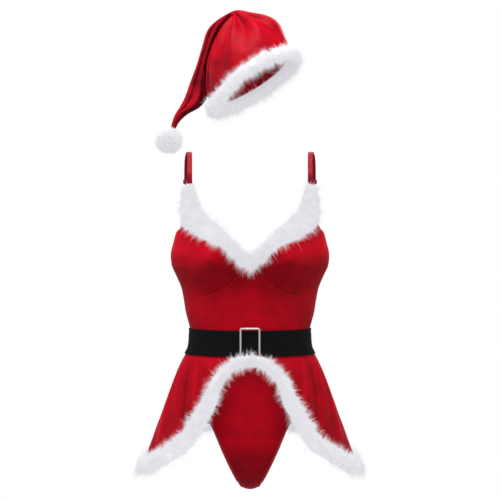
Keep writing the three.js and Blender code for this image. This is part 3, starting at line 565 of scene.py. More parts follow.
def grid_millimetres(points):
    """Distance walked along each row and down each column, as a flat map of the cloth."""
    along = np.linalg.norm(np.diff(points, axis=1), axis=-1)
    down = np.linalg.norm(np.diff(points, axis=0), axis=-1)
    u = np.pad(np.cumsum(along, axis=1), ((0, 0), (1, 0)))
    v = np.pad(np.cumsum(down, axis=0), ((1, 0), (0, 0)))
    return np.stack([u - u[:, -1:] / 2, v], axis=-1)


# Painted light from above, a little from the left: faces turned this way are painted brighter, faces turned
# away darker, within a limit.
PAINTED_LIGHT_WAY = np.array([-0.05, 0.0, 1.0])
PAINTED_LIGHT_LIMIT = 0.3
EDGE_ROLL = 0.5
EDGE_ROLL_WIDE = 2.2


def cloth_wall(name, points, thick, finish, slot, replaced, relief=0.0, ringed=False, brushed=0.0):
    """A wall of cloth: the grid moved out by its relief, rolled in at its edges, and a copy behind.
    Its painted light is the upward share of the face direction, plus painted light and shade given per
    piece."""
    flat = grid_millimetres(points)
    normals = grid_normals(points, ringed)
    fall = np.zeros(points.shape[:2])
    if not ringed:
        from_side = flat[..., 0].max(axis=1, keepdims=True) - np.abs(flat[..., 0])
        from_end = np.minimum(flat[..., 1], flat[-1:, :, 1] - flat[..., 1])
        fall = EDGE_ROLL * np.exp(-np.minimum(from_side, from_end) / EDGE_ROLL_WIDE)
    outer = points + normals * (relief - fall)[..., None]
    turned = grid_normals(outer, ringed)
    inner = outer - turned * thick
    painted_light = np.tile(np.clip(turned @ PAINTED_LIGHT_WAY + brushed, -PAINTED_LIGHT_LIMIT, PAINTED_LIGHT_LIMIT).ravel(), 2)
    both = np.concatenate([outer.reshape(-1, 3), inner.reshape(-1, 3)])
    faces = facing_out(both, wall_faces(*points.shape[:2], ringed))
    uv = np.concatenate([flat.reshape(-1, 2)] * 2)
    piece = make_piece(name, both, [faces], finish, replaced, uv, painted_light)
    width, length = np.ptp(flat[..., 0], axis=1).max(), flat[-1, :, 1].max()
    if ringed:
        width += np.linalg.norm(points[:, -1] - points[:, 0], axis=-1).max()
    area = quad_area(outer, ringed)
    print(name, "cut", round(width), "x", round(length), "mm, area", round(area / 100), "cm2")
    return piece, (width * MM, length * MM), area * MM ** 2


def quad_area(points, ringed=False):
    """Area of a grid: half the length of the cross product of each quad's diagonals."""
    if ringed:
        points = np.concatenate([points, points[:, :1]], axis=1)
    one = points[1:, 1:] - points[:-1, :-1]
    other = points[1:, :-1] - points[:-1, 1:]
    return np.linalg.norm(np.cross(one, other), axis=-1).sum() / 2


def creases(rows, across, down):
    """Sum of soft ridges, each a bell across its line that fades in and out along its length. A row
    gives the line's place at its start and end, its two ends down the cloth, its width and height."""
    total = np.zeros(np.broadcast(across, down).shape)
    for start, end, top, bottom, wide, high in rows:
        t = (down - top) / (bottom - top)
        line = start + (end - start) * np.clip(t, 0, 1)
        window = np.sin(np.pi * np.clip(t, 0, 1)) ** 0.8
        total += high * window * np.exp(-((across - line) / wide) ** 2)
    return total


# %% [markdown]
# The bodysuit is cut from stretch velvet in six panels: a front, two sides, two cups and a back. The
# stretch pulls them smooth, so there are only a few soft drag lines, from the waist and the cups.

# %% Body panels
CUP_LOWER = [(4, -218), (11, -229), (20, -241), (40, -262), (60, -275), (80, -283), (94, -285), (103, -281)]
CUP_NECK = [(4, -218), (18, -206), (38, -187), (58, -165), (76, -146), (90, -128), (100, -108),
            (107, -86), (112, -66)]
CUP_ARM = [(140, -155), (131, -134), (127, -104), (125, -84), (121, -66)]
SEAM_SHARE = 7 / 12
under_cup, cup_neck, cup_arm = walked(CUP_LOWER), walked(CUP_NECK), walked(CUP_ARM)
WALL_THICK = 1.5
SEAM_LAP = 0.5
SEAM_RADIUS = 140
CROTCH_GAP = 0.3
RIBS = {"z": -300, "share": 0.2}
BACK_NECK = {"z": -245, "rise": 80, "power": 1.6}
BACK_LEG_TOP = -446
SIDE_LEG = {"drop": 49, "power": 2.2}
ARMHOLE_FALL = 10
SIDES = (("right", 1), ("left", -1))

# Rows and columns of each grid of points
GRIDS = {"front": (96, 97), "back": (96, 121), "side": (100, 37), "cup": (73, 49), "peplum": (56, 161),
         "belt": (17, 200), "hat": (130, 128), "neck": (180, 26), "hem": (26, 200), "brim": (25, 181),
         "pompom": (33, 49)}

# Drag lines: place across at both ends, top and bottom as heights, width and height of the ridge
FRONT_DRAGS = [(-46, -70, -296, -350, 5, 0.7), (52, 74, -300, -350, 5, 0.7), (-12, -6, -300, -352, 7, 0.5),
               (24, 18, -306, -350, 5, -0.5), (-78, -66, -318, -352, 4, 0.6), (80, 62, -322, -352, 4, 0.5),
               (-30, -56, -420, -560, 10, 1.1), (34, 50, -430, -570, 10, 0.9), (0, 6, -470, -640, 12, -0.8),
               (-14, -10, -560, -668, 5, 0.7), (15, 9, -575, -668, 5, 0.7)]
BACK_DRAGS = [(-60, -76, -280, -350, 7, 0.8), (48, 70, -290, -352, 7, 0.9), (0, -8, -270, -340, 9, -0.7),
              (-30, -40, -420, -600, 14, 1.2), (36, 44, -430, -590, 14, 1.1), (0, 0, -450, -650, 6, -1.6)]

# The same with the place as a share across, and in a cup the ends as shares up from its lower edge
SIDE_DRAGS = [(0.2, 0.5, -290, -350, 0.08, 0.6), (0.7, 0.55, -300, -352, 0.1, 0.7),
              (0.4, 0.3, -180, -250, 0.1, -0.6)]
CUP_DRAGS = [(0.35, 0.5, 0.06, 0.3, 0.07, 0.5), (0.62, 0.56, 0.08, 0.36, 0.06, -0.5)]


def heights_down(top, share):
    """Heights from a panel's top edge, evenly to the ribs and then by a sine that slows at the crotch."""
    upper = top + (RIBS["z"] - top) * share / RIBS["share"]
    below = np.clip((share - RIBS["share"]) / (1 - RIBS["share"]), 0, 1)
    lower = RIBS["z"] + (CROTCH_Z - RIBS["z"]) * np.sin(below * math.pi / 2)
    return np.where(share < RIBS["share"], upper, lower)


def front_grid():
    """The front: below the cups' lower edges, as wide as the seams' or the legs' x at each height."""
    down, along = shares(*GRIDS["front"])
    side = 2 * along - 1
    places = under_cup(np.abs(side))
    z = heights_down(places[..., 1] + SEAM_LAP, down)
    half = np.where(z > SIDE_SEAM_END, seam_x(np.minimum(z, CUP_CORNER_Z)), front_leg_x(z))
    x = np.sign(side) * places[..., 0] / CUP_LOWER[-1][0] * (half + SEAM_LAP)
    points = figure_point(np.arcsin(x / figure_half(z)), z)
    points[-1, :, 1] = -CROTCH_GAP
    return points, creases(FRONT_DRAGS, x, z)


def back_neck_z(share):
    """Height of the scooped back's edge, by the share of the way from its middle to the side seam."""
    return BACK_NECK["z"] + BACK_NECK["rise"] * np.abs(share) ** BACK_NECK["power"]


def back_grid():
    """The back: an angle on both sides of the middle, up to the side seam and then to the leg's edge."""
    down, along = shares(*GRIDS["back"])
    side = 2 * along - 1
    seam_half = math.pi - BACK_SEAM + SEAM_LAP / SEAM_RADIUS
    z = heights_down(back_neck_z(side), down)
    leg_half = np.arcsin(np.clip(back_leg_x(z) / figure_half(z), 0, 1))
    half = np.where(z > BACK_LEG_TOP, seam_half, np.minimum(seam_half, leg_half))
    points = figure_point(math.pi - side * half, z)
    points[-1, :, 1] = CROTCH_GAP
    return points, creases(BACK_DRAGS, points[..., 0], z)


def side_grid():
    """A side: the angle goes from the front seam's to the back seam's, between armhole and leg."""
    down, along = shares(*GRIDS["side"])
    top = CUP_TOP_Z - ARMHOLE_FALL * along
    bottom = BACK_LEG_TOP - SIDE_LEG["drop"] * (1 - along) ** SIDE_LEG["power"]
    z = top + (bottom - top) * down
    front_angle = np.arcsin(seam_x(z) / figure_half(z))
    angle = front_angle + (BACK_SEAM - front_angle) * along
    return figure_point(angle, z), creases(SIDE_DRAGS, along, z)


def cup_outer(share):
    """The cup's outer edge: up the side seam for seven twelfths, then along the armhole."""
    z = CUP_CORNER_Z + (CUP_TOP_Z - CUP_CORNER_Z) * np.clip(share / SEAM_SHARE, 0, 1)
    on_seam = np.stack([seam_x(z) + SEAM_LAP, z], axis=-1)
    on_arm = cup_arm(np.clip((share - SEAM_SHARE) / (1 - SEAM_SHARE), 0, 1))
    return np.where((share <= SEAM_SHARE)[..., None], on_seam, on_arm)


def blend(one, other, share):
    """Points on the straight way from one set to the other, at a share of their own."""
    return one * (1 - share)[..., None] + other * share[..., None]


def cup_top(share):
    """The cup's short top edge, straight from the neckline to the armhole."""
    end = np.ones_like(share)
    return blend(cup_neck(end), cup_outer(end), share)


def patch(lower, upper, inner, outer, up, across):
    """Flat patch between four edges: the two blends of opposite edges, less the blend of corners."""
    start, end = np.zeros_like(up), np.ones_like(up)
    flat = blend(lower(across), upper(across), up) + blend(inner(up), outer(up), across)
    low = blend(lower(start), lower(end), across)
    high = blend(upper(start), upper(end), across)
    return flat - blend(low, high, up)


def cup_grid():
    """A cup: the flat patch between its four edges, laid on the mound of the form."""
    up, across = shares(*GRIDS["cup"])
    flat = patch(under_cup, cup_top, cup_neck, cup_outer, up, across)
    return front_point(flat), creases(CUP_DRAGS, across, up)


def add_sheet(name, points, relief, thick, finish, slot, nodes, held="stretched", trims=(), **extra):
    """A cloth wall whose cut size and area are worked out and printed. The bands given as trims are not
    used.
    """
    piece, flat, area = cloth_wall(name, points, thick, finish, slot, nodes, relief, **extra)


front_points, front_relief = front_grid()
back_points, back_relief = back_grid()
side_points, side_relief = side_grid()
cup_points, cup_relief = cup_grid()

# %% [markdown]
# The leg openings are finished with a fold-over elastic, 5 mm wide, a little lighter than the velvet.
# It is one closed loop around each opening, so its section is carried along the edges of the panels.

# %% Leg bindings
BINDING = {"wide": 5, "thick": 2.6, "shift": (2.0, -0.8), "samples": 260}
FLATNESS = 0.6


def full_turns(count):
    """Angles evenly all round, without the last, which would be the first again."""
    return np.arange(count) * 2 * math.pi / count


def unit(ways):
    """The same ways with a length of one."""
    return ways / np.linalg.norm(ways, axis=-1, keepdims=True)


def rounded_band(wide, thick, count=14):
    """Closed section of a flat band with round edges: a round whose sine and cosine are flattened."""
    turn = np.linspace(0, 2 * math.pi, count, endpoint=False)
    rounds = np.stack([np.cos(turn), np.sin(turn)], axis=1)
    return np.array([wide, thick]) / 2 * np.sign(rounds) * np.abs(rounds) ** FLATNESS


def swept(line, out, through, section):
    """A section carried along a line: its first number goes out, and its second one goes through."""
    through = np.broadcast_to(through, line.shape)
    return line[:, None] + out[:, None] * section[None, :, :1] + through[:, None] * section[None, :, 1:]


def skin(points, faces):
    """Points as one list, and their faces turned outward."""
    flat = points.reshape(-1, 3)
    return flat, facing_out(flat, faces)


def ring_piece(name, points, finish, node, uv=None):
    """A piece from rings of points that closes on itself both ways."""
    flat, faces = skin(points, quads(*points.shape[:2], rows_close=True, cols_close=True))
    return make_piece(name, flat, [faces], finish, [node], uv)


def leg_band(name, edge, inside, node):
    """The elastic round a closed edge: out is the way from the inner line to the edge, evened out
    along it, and the face direction is square to it and to the edge's run."""
    run = unit(np.roll(edge, -1, axis=0) - np.roll(edge, 1, axis=0))
    out = edge - inside
    out -= run * (out * run).sum(axis=1, keepdims=True)
    for _ in range(3):
        out = (np.roll(out, 1, axis=0) + out * 2 + np.roll(out, -1, axis=0)) / 4
    out = unit(out)
    face = np.cross(run, out)
    if (face * edge * (1, 1, 0)).sum() < 0:
        face = -face
    section = rounded_band(BINDING["wide"], BINDING["thick"]) + BINDING["shift"]
    walk = np.cumsum(np.linalg.norm(np.roll(edge, -1, axis=0) - edge, axis=1))
    uv = np.stack([np.repeat(walk, len(section)), np.tile(section[:, 0], len(edge))], axis=1)
    print(name, "length", round(walk[-1]), "mm")
    return ring_piece(name, swept(edge, out, face, section), binding_elastic, node, uv)


def leg_edges():
    """Edge of one leg opening and the line just inside it, round the front, side and back panels."""
    low_front = front_points[:, -1, 2] < SIDE_SEAM_END - 2
    low_back = back_points[:, -1, 2] < BACK_LEG_TOP - 4
    closed = []
    for row in (-1, -4):
        line = np.concatenate([front_points[low_front, row][::-1], side_points[row, ::2],
                               back_points[low_back, row]])
        closed.append(np.concatenate([line, line[:1]]))
    length = distances(closed[0])
    even = np.linspace(0, 1, BINDING["samples"], endpoint=False)
    return [read_line(line, length, even) for line in closed]


leg_edge, leg_inside = leg_edges()
bindings = {side_name: leg_band(f"leg_elastic_{side_name}", leg_edge * (flip, 1, 1),
                                leg_inside * (flip, 1, 1), f"leg_binding_{side_name}")
            for side_name, flip in SIDES}

# %% [markdown]
# The panels are now made as sheets of cloth. Each leg binding goes round three panels and is passed
# with the side panel, which has the longest run of it, but it is not used there.

# %% Sew the panels
add_sheet("velvet_front", front_points, front_relief, WALL_THICK, bodysuit_velvet, "velvet",
          ["front_bodice", "front_brief"])
add_sheet("velvet_back", back_points, back_relief, WALL_THICK, bodysuit_velvet, "velvet",
          ["back_bodice", "back_brief_right", "back_brief_left"])
for side_name, flip in SIDES:
    add_sheet(f"velvet_side_{side_name}", side_points * (flip, 1, 1), side_relief, WALL_THICK,
              bodysuit_velvet, "velvet", [f"side_panel_{side_name}"], trims=[bindings[side_name]])
    add_sheet(f"velvet_cup_{side_name}", cup_points * (flip, 1, 1), cup_relief, WALL_THICK,
              bodysuit_velvet, "velvet", [f"cup_{side_name}"])

# %% [markdown]
# The peplum is two flared pieces that hang from the waist seam under the belt. It is shortest at the
# front middle, longest at the sides, and short again at the back. Its flare falls in soft flutes,
# and smaller creases start where the belt squeezes it.

# %% Peplum
HEM = table(
    "angle z", (0, -411), (11, -415), (21, -439), (26, -461), (28, -487), (33, -512), (38, -546),
    (43, -570), (54, -594), (66, -611), (80, -622), (92, -622), (110, -608), (130, -585),
    (150, -562), (180, -548))
HEM_RADIUS = 165
PEPLUM_TOP = -368
PEPLUM_LIFT = 2.4
PEPLUM_THICK = 1.6
PEPLUM_END = 0.0015
FLUTES = {"count": 8, "high": 5, "start": -416, "fall": 200}
BELT_BOTTOM = -402
BELT_TOP = -352
hem_line = walked(np.stack([np.radians(HEM["angle"]) * HEM_RADIUS, HEM["z"]], axis=-1))


def flare(form, lower):
    """Half width or depth of the flare: the form's own under the belt, and a table below it."""
    under_belt = np.array([PEPLUM_TOP, -386.0, BELT_BOTTOM])
    heights = np.concatenate([under_belt, [-416, -440, -606, -660]])
    return smooth(heights, np.concatenate([form(under_belt) + PEPLUM_LIFT, lower]))


flare_half = flare(figure_half, [136, 147, 203, 219])
flare_front = flare(figure_front, [99, 107, 150, 164])
flare_back = flare(figure_back, [97, 110, 160, 176])

# Creases of the peplum: share round from front to back at top and hem, height range, width, height
PEPLUM_FOLDS = [(0.30, 0.27, -404, -560, 0.012, 2.2), (0.36, 0.33, -404, -600, 0.014, -2.4),
                (0.43, 0.40, -404, -520, 0.010, 1.8), (0.47, 0.47, -420, -620, 0.018, 2.6),
                (0.53, 0.55, -404, -540, 0.012, -2.0), (0.60, 0.63, -404, -590, 0.014, 2.2),
                (0.70, 0.71, -404, -560, 0.012, -1.8), (0.79, 0.80, -404, -540, 0.013, 2.0),
                (0.88, 0.90, -404, -550, 0.012, -1.6), (0.22, 0.18, -404, -470, 0.010, 1.2)]
FOLDS = {"deeper": 1.5, "below_belt": 2, "over": 30}
# Painted light and shade on the peplum: crease ridges painted lighter, their grooves darker, and less
# painted light all over.
PEPLUM_PAINTED_SHADE = {"by_fold": 0.06, "darker": 0.45}


def peplum_point(angle, z):
    """Flared round: half width times the sine, depth times minus the cosine, both with a wave that
    grows as the square of the way down."""
    fallen = np.clip((FLUTES["start"] - z) / FLUTES["fall"], 0, 1.2)
    wave = FLUTES["high"] * fallen ** 2 * np.cos(FLUTES["count"] * angle)
    facing = np.cos(angle)
    depth = np.where(facing > 0, flare_front(z), flare_back(z)) + wave
    return np.stack([(flare_half(z) + wave) * np.sin(angle), -depth * facing, z], axis=-1)


def peplum_grid():
    """One side of the peplum: columns start evenly round the waist and end evenly along the hem."""
    down, along = shares(*GRIDS["peplum"])
    cut = hem_line(along)
    angle = math.pi * along + (cut[..., 0] / HEM_RADIUS - math.pi * along) * down
    angle = np.clip(angle, PEPLUM_END, math.pi - PEPLUM_END)
    z = PEPLUM_TOP + (cut[..., 1] - PEPLUM_TOP) * down
    below_belt = ease((BELT_BOTTOM - FOLDS["below_belt"] - z) / FOLDS["over"])
    return peplum_point(angle, z), FOLDS["deeper"] * creases(PEPLUM_FOLDS, along, z) * below_belt


peplum_points, peplum_relief = peplum_grid()
# Each peplum side gets the painted light and shade above on top of its painted light by facing.
for side_name, flip in SIDES:
    add_sheet(f"velvet_peplum_{side_name}", peplum_points * (flip, 1, 1), peplum_relief, PEPLUM_THICK,
              bodysuit_velvet, "velvet", [f"peplum_front_{side_name}", f"peplum_back_{side_name}"],
              held="hung", brushed=PEPLUM_PAINTED_SHADE["by_fold"] * peplum_relief - PEPLUM_PAINTED_SHADE["darker"])

# %% [markdown]
# The belt is a band of black ribbed elastic, 50 mm tall, closed behind the buckle. The buckle is a
# plated frame with softly rounded bars that lies on the belt's front.

# %% Belt
BELT = {"thick": 1.9, "lift": 2.3, "over_peplum": PEPLUM_LIFT + 0.1}
SELVEDGE = {"high": 0.35, "wide": 2.5}
BUCKLE = {"wide": 40, "tall": 58, "bar": 3.6, "thick": 3, "corner": 2.4, "top": -346, "face": -96.4}


def belt_grid():
    """The belt: the form's own round, lifted more where the peplum lies under it."""
    rows, columns = GRIDS["belt"]
    down, turn = np.meshgrid(np.linspace(0, 1, rows), full_turns(columns), indexing="ij")
    z = BELT_TOP + (BELT_BOTTOM - BELT_TOP) * down
    over_peplum = ease((BELT_TOP - z) / (BELT_TOP - PEPLUM_TOP))
    points = figure_point(turn, z, BELT["lift"] + BELT["over_peplum"] * over_peplum)
    from_top, from_bottom = BELT_TOP - z, z - BELT_BOTTOM
    edges = np.exp(-from_top / SELVEDGE["wide"]) + np.exp(-from_bottom / SELVEDGE["wide"])
    return points, SELVEDGE["high"] * edges


def rounded_corner_frame(wide, tall, corner, steps):
    """Middle line of a frame, four straight sides joined by quarter rounds, and its ways outward."""
    turn = (np.arange(4) * math.pi / 2)[:, None] + np.linspace(0, math.pi / 2, steps)
    outward = np.stack([np.cos(turn), np.sin(turn)], axis=-1)
    centres = np.array([(1, 1), (-1, 1), (-1, -1), (1, -1)]) * (wide / 2 - corner, tall / 2 - corner)
    return (centres[:, None] + corner * outward).reshape(-1, 2), outward.reshape(-1, 2)


def frame_piece(name, middle, axes, frame, section, finish, node):
    """A frame round a middle, laid out along the first two axes, with its section's depth along the
    third."""
    line, outward = (part @ np.stack(axes[:2]) for part in frame)
    ring_piece(name, swept(middle + line, outward, axes[2], section), finish, node)


belt_points, belt_relief = belt_grid()
add_sheet("belt_band", belt_points, belt_relief, BELT["thick"], belt_webbing, "webbing",
          ["belt_right", "belt_left"], ringed=True)
buckle_middle = (0, BUCKLE["face"] - BUCKLE["thick"] / 2, BUCKLE["top"] - BUCKLE["tall"] / 2)
buckle_frame = rounded_corner_frame(
    BUCKLE["wide"] - BUCKLE["bar"], BUCKLE["tall"] - BUCKLE["bar"], BUCKLE["corner"], 8)
frame_piece("buckle_frame", buckle_middle, np.array([(1, 0, 0), (0, 0, 1), (0, -1, 0)]), buckle_frame,
            rounded_band(BUCKLE["bar"], BUCKLE["thick"], 16), buckle_metal, "buckle")

# %% [markdown]
# The straps are satin elastic, 10 mm wide. Each rises from the top of a cup, bends over the shoulder
# and runs down to the back panel, with a small coated slider behind the shoulder.

# %% Straps and sliders
STRAP = {"wide": 10, "thick": 1.5, "samples": 140, "turn": math.radians(128), "clear": 1.9}
SLIDER = {"wide": 12.7, "tall": 3.7, "corner": 1.2, "bar": 1.5, "long": 8, "sample": 76}
strap_foot = back_neck_z((math.pi - STRAP["turn"]) / (math.pi - BACK_SEAM)) + STRAP["clear"]
strap_end = figure_point(np.array(STRAP["turn"]), np.array(strap_foot))
strap_start = front_point(np.array([118.0, -66.0]))
STRAP_STOPS = np.array([
    strap_start + (0, 0.8, 0.8), (118, -58, -44), (119, -36, -12), (121.5, -6, -0.75), (127, 24, -14),
    (129, 44, -54), (130, 53, -110), strap_end + (-0.4, -0.8, 0)])


def strap_band(name, stops, node):
    """A flat section carried along an open line, with its width kept level across the shoulder."""
    samples, section = STRAP["samples"], rounded_band(STRAP["wide"], STRAP["thick"])
    line = walked(stops, count=1200)(np.linspace(0, 1, samples))
    run = unit(np.gradient(line, axis=0))
    across = unit(np.array([1.0, 0, 0]) - run * run[:, :1])
    face = np.cross(run, across)
    sides = len(section)
    walls = quads(samples, sides, cols_close=True)
    flat, turned = skin(swept(line, across, face, section), walls)
    caps = np.stack([np.arange(sides), np.arange(sides)[::-1] + (samples - 1) * sides])
    caps = caps if (turned == walls).all() else caps[:, ::-1]
    walk = distances(line)
    # The band's inner side is moved up the map, where its colour is painted shade.
    inner_side = np.where(section[:, 1] > 0, INNER_SIDE_MM, 0)
    uv = np.stack([np.repeat(walk, sides), np.tile(section[:, 0] + inner_side, samples)], axis=1)
    piece = make_piece(name, flat, [turned, caps], satin_elastic, [node], uv)
    return line, across, face, run


for side_name, flip in SIDES:
    strap = strap_band(f"strap_band_{side_name}", STRAP_STOPS * (flip, 1, 1), f"strap_{side_name}")
    middle, *axes = (part[SLIDER["sample"]] for part in strap)
    frame_piece(f"slider_ring_{side_name}", middle, axes,
                rounded_corner_frame(SLIDER["wide"], SLIDER["tall"], SLIDER["corner"], 6),
                rounded_band(SLIDER["bar"], SLIDER["long"], 12),
                slider_coat, f"strap_slider_{side_name}")

# %% [markdown]
# The hat is one cone of plush velvet. Its rings fan from the brim over the peak and down the tip, and
# each ring is an ellipse between its two ends as seen from the front. Deep creases run from the peak.

# %% Hat cloth
HAT = table(
    "left_x left_z right_x right_z depth lean y",
    (-85, 99, 83.6, 199.3, 96, 9, 0), (-88.5, 132, 70, 229, 87, 8, 0),
    (-86.5, 172, 62, 248, 75, 6, 0), (-79.5, 204, 50, 262, 62, 3, 0), (-68, 230, 30, 272, 50, 0, 0),
    (-51, 250, 2, 277, 41, 0, 0), (-38, 264, -26, 281, 33, 0, 0), (-44, 262, -53, 270, 28, 0, 1),
    (-55, 247, -75, 256, 24, 0, 2), (-66, 228, -88, 238, 20, 0, 3), (-77, 204, -97, 208, 18, 0, 4),
    (-86, 171, -108, 172, 17, 0, 5), (-85.5, 139, -120, 140, 16, 0, 6), (-86, 109, -130, 112, 14, 0, 6),
    (-101, 90, -140.5, 91, 12, 0, 6), (-125, 76, -149, 78, 9, 0, 6), (-142, 60, -155, 64, 6.5, 0, 6),
    (-150.6, 43.1, -159.6, 46.1, 4.5, 0, 6))
HAT_THICK = 1.8
HAT_RISE = math.radians(31.4)
HAT_AXIS = np.array([-math.sin(HAT_RISE), 0, math.cos(HAT_RISE)])
BRIM_DIP = {"deep": 11, "turn": 3.75, "wide": 0.6, "last_ring": 2.5}
HAT_SWELL = {"high": 2.5, "last_ring": 9, "count": 4, "twist": 0.5, "calm": 0.5}
# Painted light and shade on the hat: lighter on ridges, darker in grooves and in the fold along the tail
# line below, and a little darker all over.
HAT_PAINTED_SHADE = {"by_ridge": 0.035, "tail_fold_shade": 0.4, "darker": 0.07}
TAIL_LINE = {"ring": 8, "turn": 3.9, "drift": 0.2, "wide": 0.5,
             "starts": 7, "over": 1.5, "ends": 11, "fades": 2}

# Creases of the hat: turn round the ring at both ends, ring numbers where it starts and stops,
# width as a turn and height of the ridge
HAT_FOLDS = [(3.74, 4.0, 0.1, 6.3, 0.11, 6.5), (3.48, 3.6, 0.0, 6.5, 0.09, -5.0),
             (4.08, 4.25, 0.5, 6.0, 0.12, -5.5), (4.4, 4.48, 0.2, 6.2, 0.12, 6.0),
             (4.8, 4.7, 0.8, 6.0, 0.13, -5.5), (5.25, 4.9, 0.3, 6.0, 0.13, 6.0),
             (5.65, 5.15, 0.9, 5.8, 0.12, -4.5), (5.95, 5.4, 0.2, 5.0, 0.14, 4.0),
             (5.0, 5.1, 7.0, 15.0, 0.20, -4.5), (4.4, 4.45, 6.5, 15.0, 0.20, 5.0),
             (3.75, 3.8, 7.5, 14.0, 0.24, -7.0), (0.8, 1.2, 0.4, 5.0, 0.18, 4.5),
             (1.6, 1.7, 0.3, 5.5, 0.15, -4.0), (2.3, 2.0, 0.5, 5.2, 0.16, 4.5),
             (1.5, 1.9, 7.0, 13.0, 0.3, 2.5), (2.9, 2.7, 0.8, 5.0, 0.14, -2.5)]


def bell(value, middle, wide):
    """1 at the middle, falling as the exponential of minus the square of the distance in widths."""
    return np.exp(-((value - middle) / wide) ** 2)


def brim_dip(turn):
    """How far the brim and the cloth's edge hang lower at the front left: a bell round the turn."""
    return -BRIM_DIP["deep"] * bell(turn, BRIM_DIP["turn"], BRIM_DIP["wide"])


def hat_grid(ring, turn):
    """The cone: half the ring's chord times the cosine, its depth times the sine, and soft waves."""
    column = {name: smooth_rows(values)(ring) for name, values in HAT.items()}
    left = np.stack([column["left_x"], column["y"], column["left_z"]], axis=-1)
    right = np.stack([column["right_x"], column["y"], column["right_z"]], axis=-1)
    half = (right - left) / 2
    opening = unit(np.stack([half[..., 2], 0 * half[..., 1], -half[..., 0]], axis=-1))
    lean = np.radians(column["lean"])[..., None]
    deep = np.array([0.0, 1, 0]) * np.cos(lean) + opening * np.sin(lean)
    spoke = half * np.cos(turn)[..., None] + deep * column["depth"][..., None] * np.sin(turn)[..., None]
    swell = HAT_SWELL["high"] * np.sin(math.pi * np.clip(ring / HAT_SWELL["last_ring"], 0, 1)) ** 2
    away_from_left = 1 - bell(turn, math.pi, HAT_SWELL["calm"])
    wave = swell * np.cos(HAT_SWELL["count"] * turn + HAT_SWELL["twist"] * ring) * away_from_left
    length = np.linalg.norm(spoke, axis=-1)
    points = (left + right) / 2 + spoke * (1 + wave / length)[..., None]
    dip = brim_dip(turn) * (1 - ease(ring / BRIM_DIP["last_ring"]))
    return points + HAT_AXIS * dip[..., None], creases(HAT_FOLDS, turn, ring)


def hat_painted_shade(relief, ring, turn):
    """Painted light and shade on the hat: lighter on ridges, darker in grooves, and painted shade in the
    fold where the tail lies against the crown, as a bell across a line that runs along the tail."""
    line = TAIL_LINE["turn"] + TAIL_LINE["drift"] * (ring - TAIL_LINE["ring"])
    begun = ease((ring - TAIL_LINE["starts"]) / TAIL_LINE["over"])
    ended = ease((ring - TAIL_LINE["ends"]) / TAIL_LINE["fades"])
    tail_fold_shade = bell(turn, line, TAIL_LINE["wide"]) * begun * (1 - ended)
    return HAT_PAINTED_SHADE["by_ridge"] * relief - HAT_PAINTED_SHADE["tail_fold_shade"] * tail_fold_shade - HAT_PAINTED_SHADE["darker"]


hat_ring = np.linspace(0, len(HAT["y"]) - 1, GRIDS["hat"][0])[:, None]
hat_turn = full_turns(GRIDS["hat"][1])[None]
hat_points, hat_relief = hat_grid(hat_ring, hat_turn)
add_sheet("hat_velvet_cone", hat_points, hat_relief, HAT_THICK, hat_velvet, "hat_velvet",
          ["hat_crown_back", "hat_crown_front", "hat_tail"], held="draped", ringed=True,
          brushed=hat_painted_shade(hat_relief, hat_ring, hat_turn))

# %% [markdown]
# The fur trim is down on a cord. From afar it is a soft white roll, and close up it is thousands of
# hairs in tufts that lean together. Each hair here is a three-sided blade that tapers to a point and
# droops a little. All the hairs of a trim are one mesh, worked out as arrays.

# %% Hairs
DROOP = 0.12
ROOT_DEEP = 1
STEEP = 0.8


def blades(roots, out, lengths, widths, droop, rings):
    """Three-sided hairs: rings of three points at shares of the length, then a tip. The middle of a
    hair is its root plus its direction, and a droop that grows as the square of the share."""
    level = np.where(np.abs(out[:, 2:]) < STEEP, [[0.0, 0, 1]], [[1.0, 0, 0]])
    side = unit(np.cross(out, level))
    other = np.cross(out, side)
    spots = []
    for share in rings:
        middle = roots + out * (lengths * share)[:, None] + droop * share ** 2
        thick = (widths * (1 - share ** 2) / 2)[:, None]
        spots += [middle + (side * math.cos(turn) + other * math.sin(turn)) * thick
                  for turn in (0, 2 * math.pi / 3, 4 * math.pi / 3)]
    spots.append(roots + out * lengths[:, None] + droop)
    corner, after = np.arange(3), (np.arange(3) + 1) % 3
    own = len(spots)
    walls = [np.stack([corner + 3 * k, after + 3 * k, after + 3 * k + 3, corner + 3 * k + 3], axis=1)
             for k in range(len(rings) - 1)]
    tips = np.stack([corner + own - 4, after + own - 4, np.full(3, own - 1)], axis=1)
    first = np.arange(len(roots))[:, None, None] * own
    blocks = [(first + block).reshape(-1, block.shape[1]) for block in (*walls, tips)]
    return np.stack(spots, axis=1).reshape(-1, 3), blocks


def sampled(grid, rows, cols):
    """Values of a grid at places between its points: the four neighbours weighed by nearness."""
    i, j = rows.astype(int), cols.astype(int)
    upper = blend(grid[i, j], grid[i, j + 1], cols - j)
    lower = blend(grid[i + 1, j], grid[i + 1, j + 1], cols - j)
    return blend(upper, lower, rows - i)


def folded(places, count):
    """Places past either end of a grid, turned back into it."""
    last = count - 1.001
    return np.clip(last - np.abs(last - np.abs(places)), 0, last)


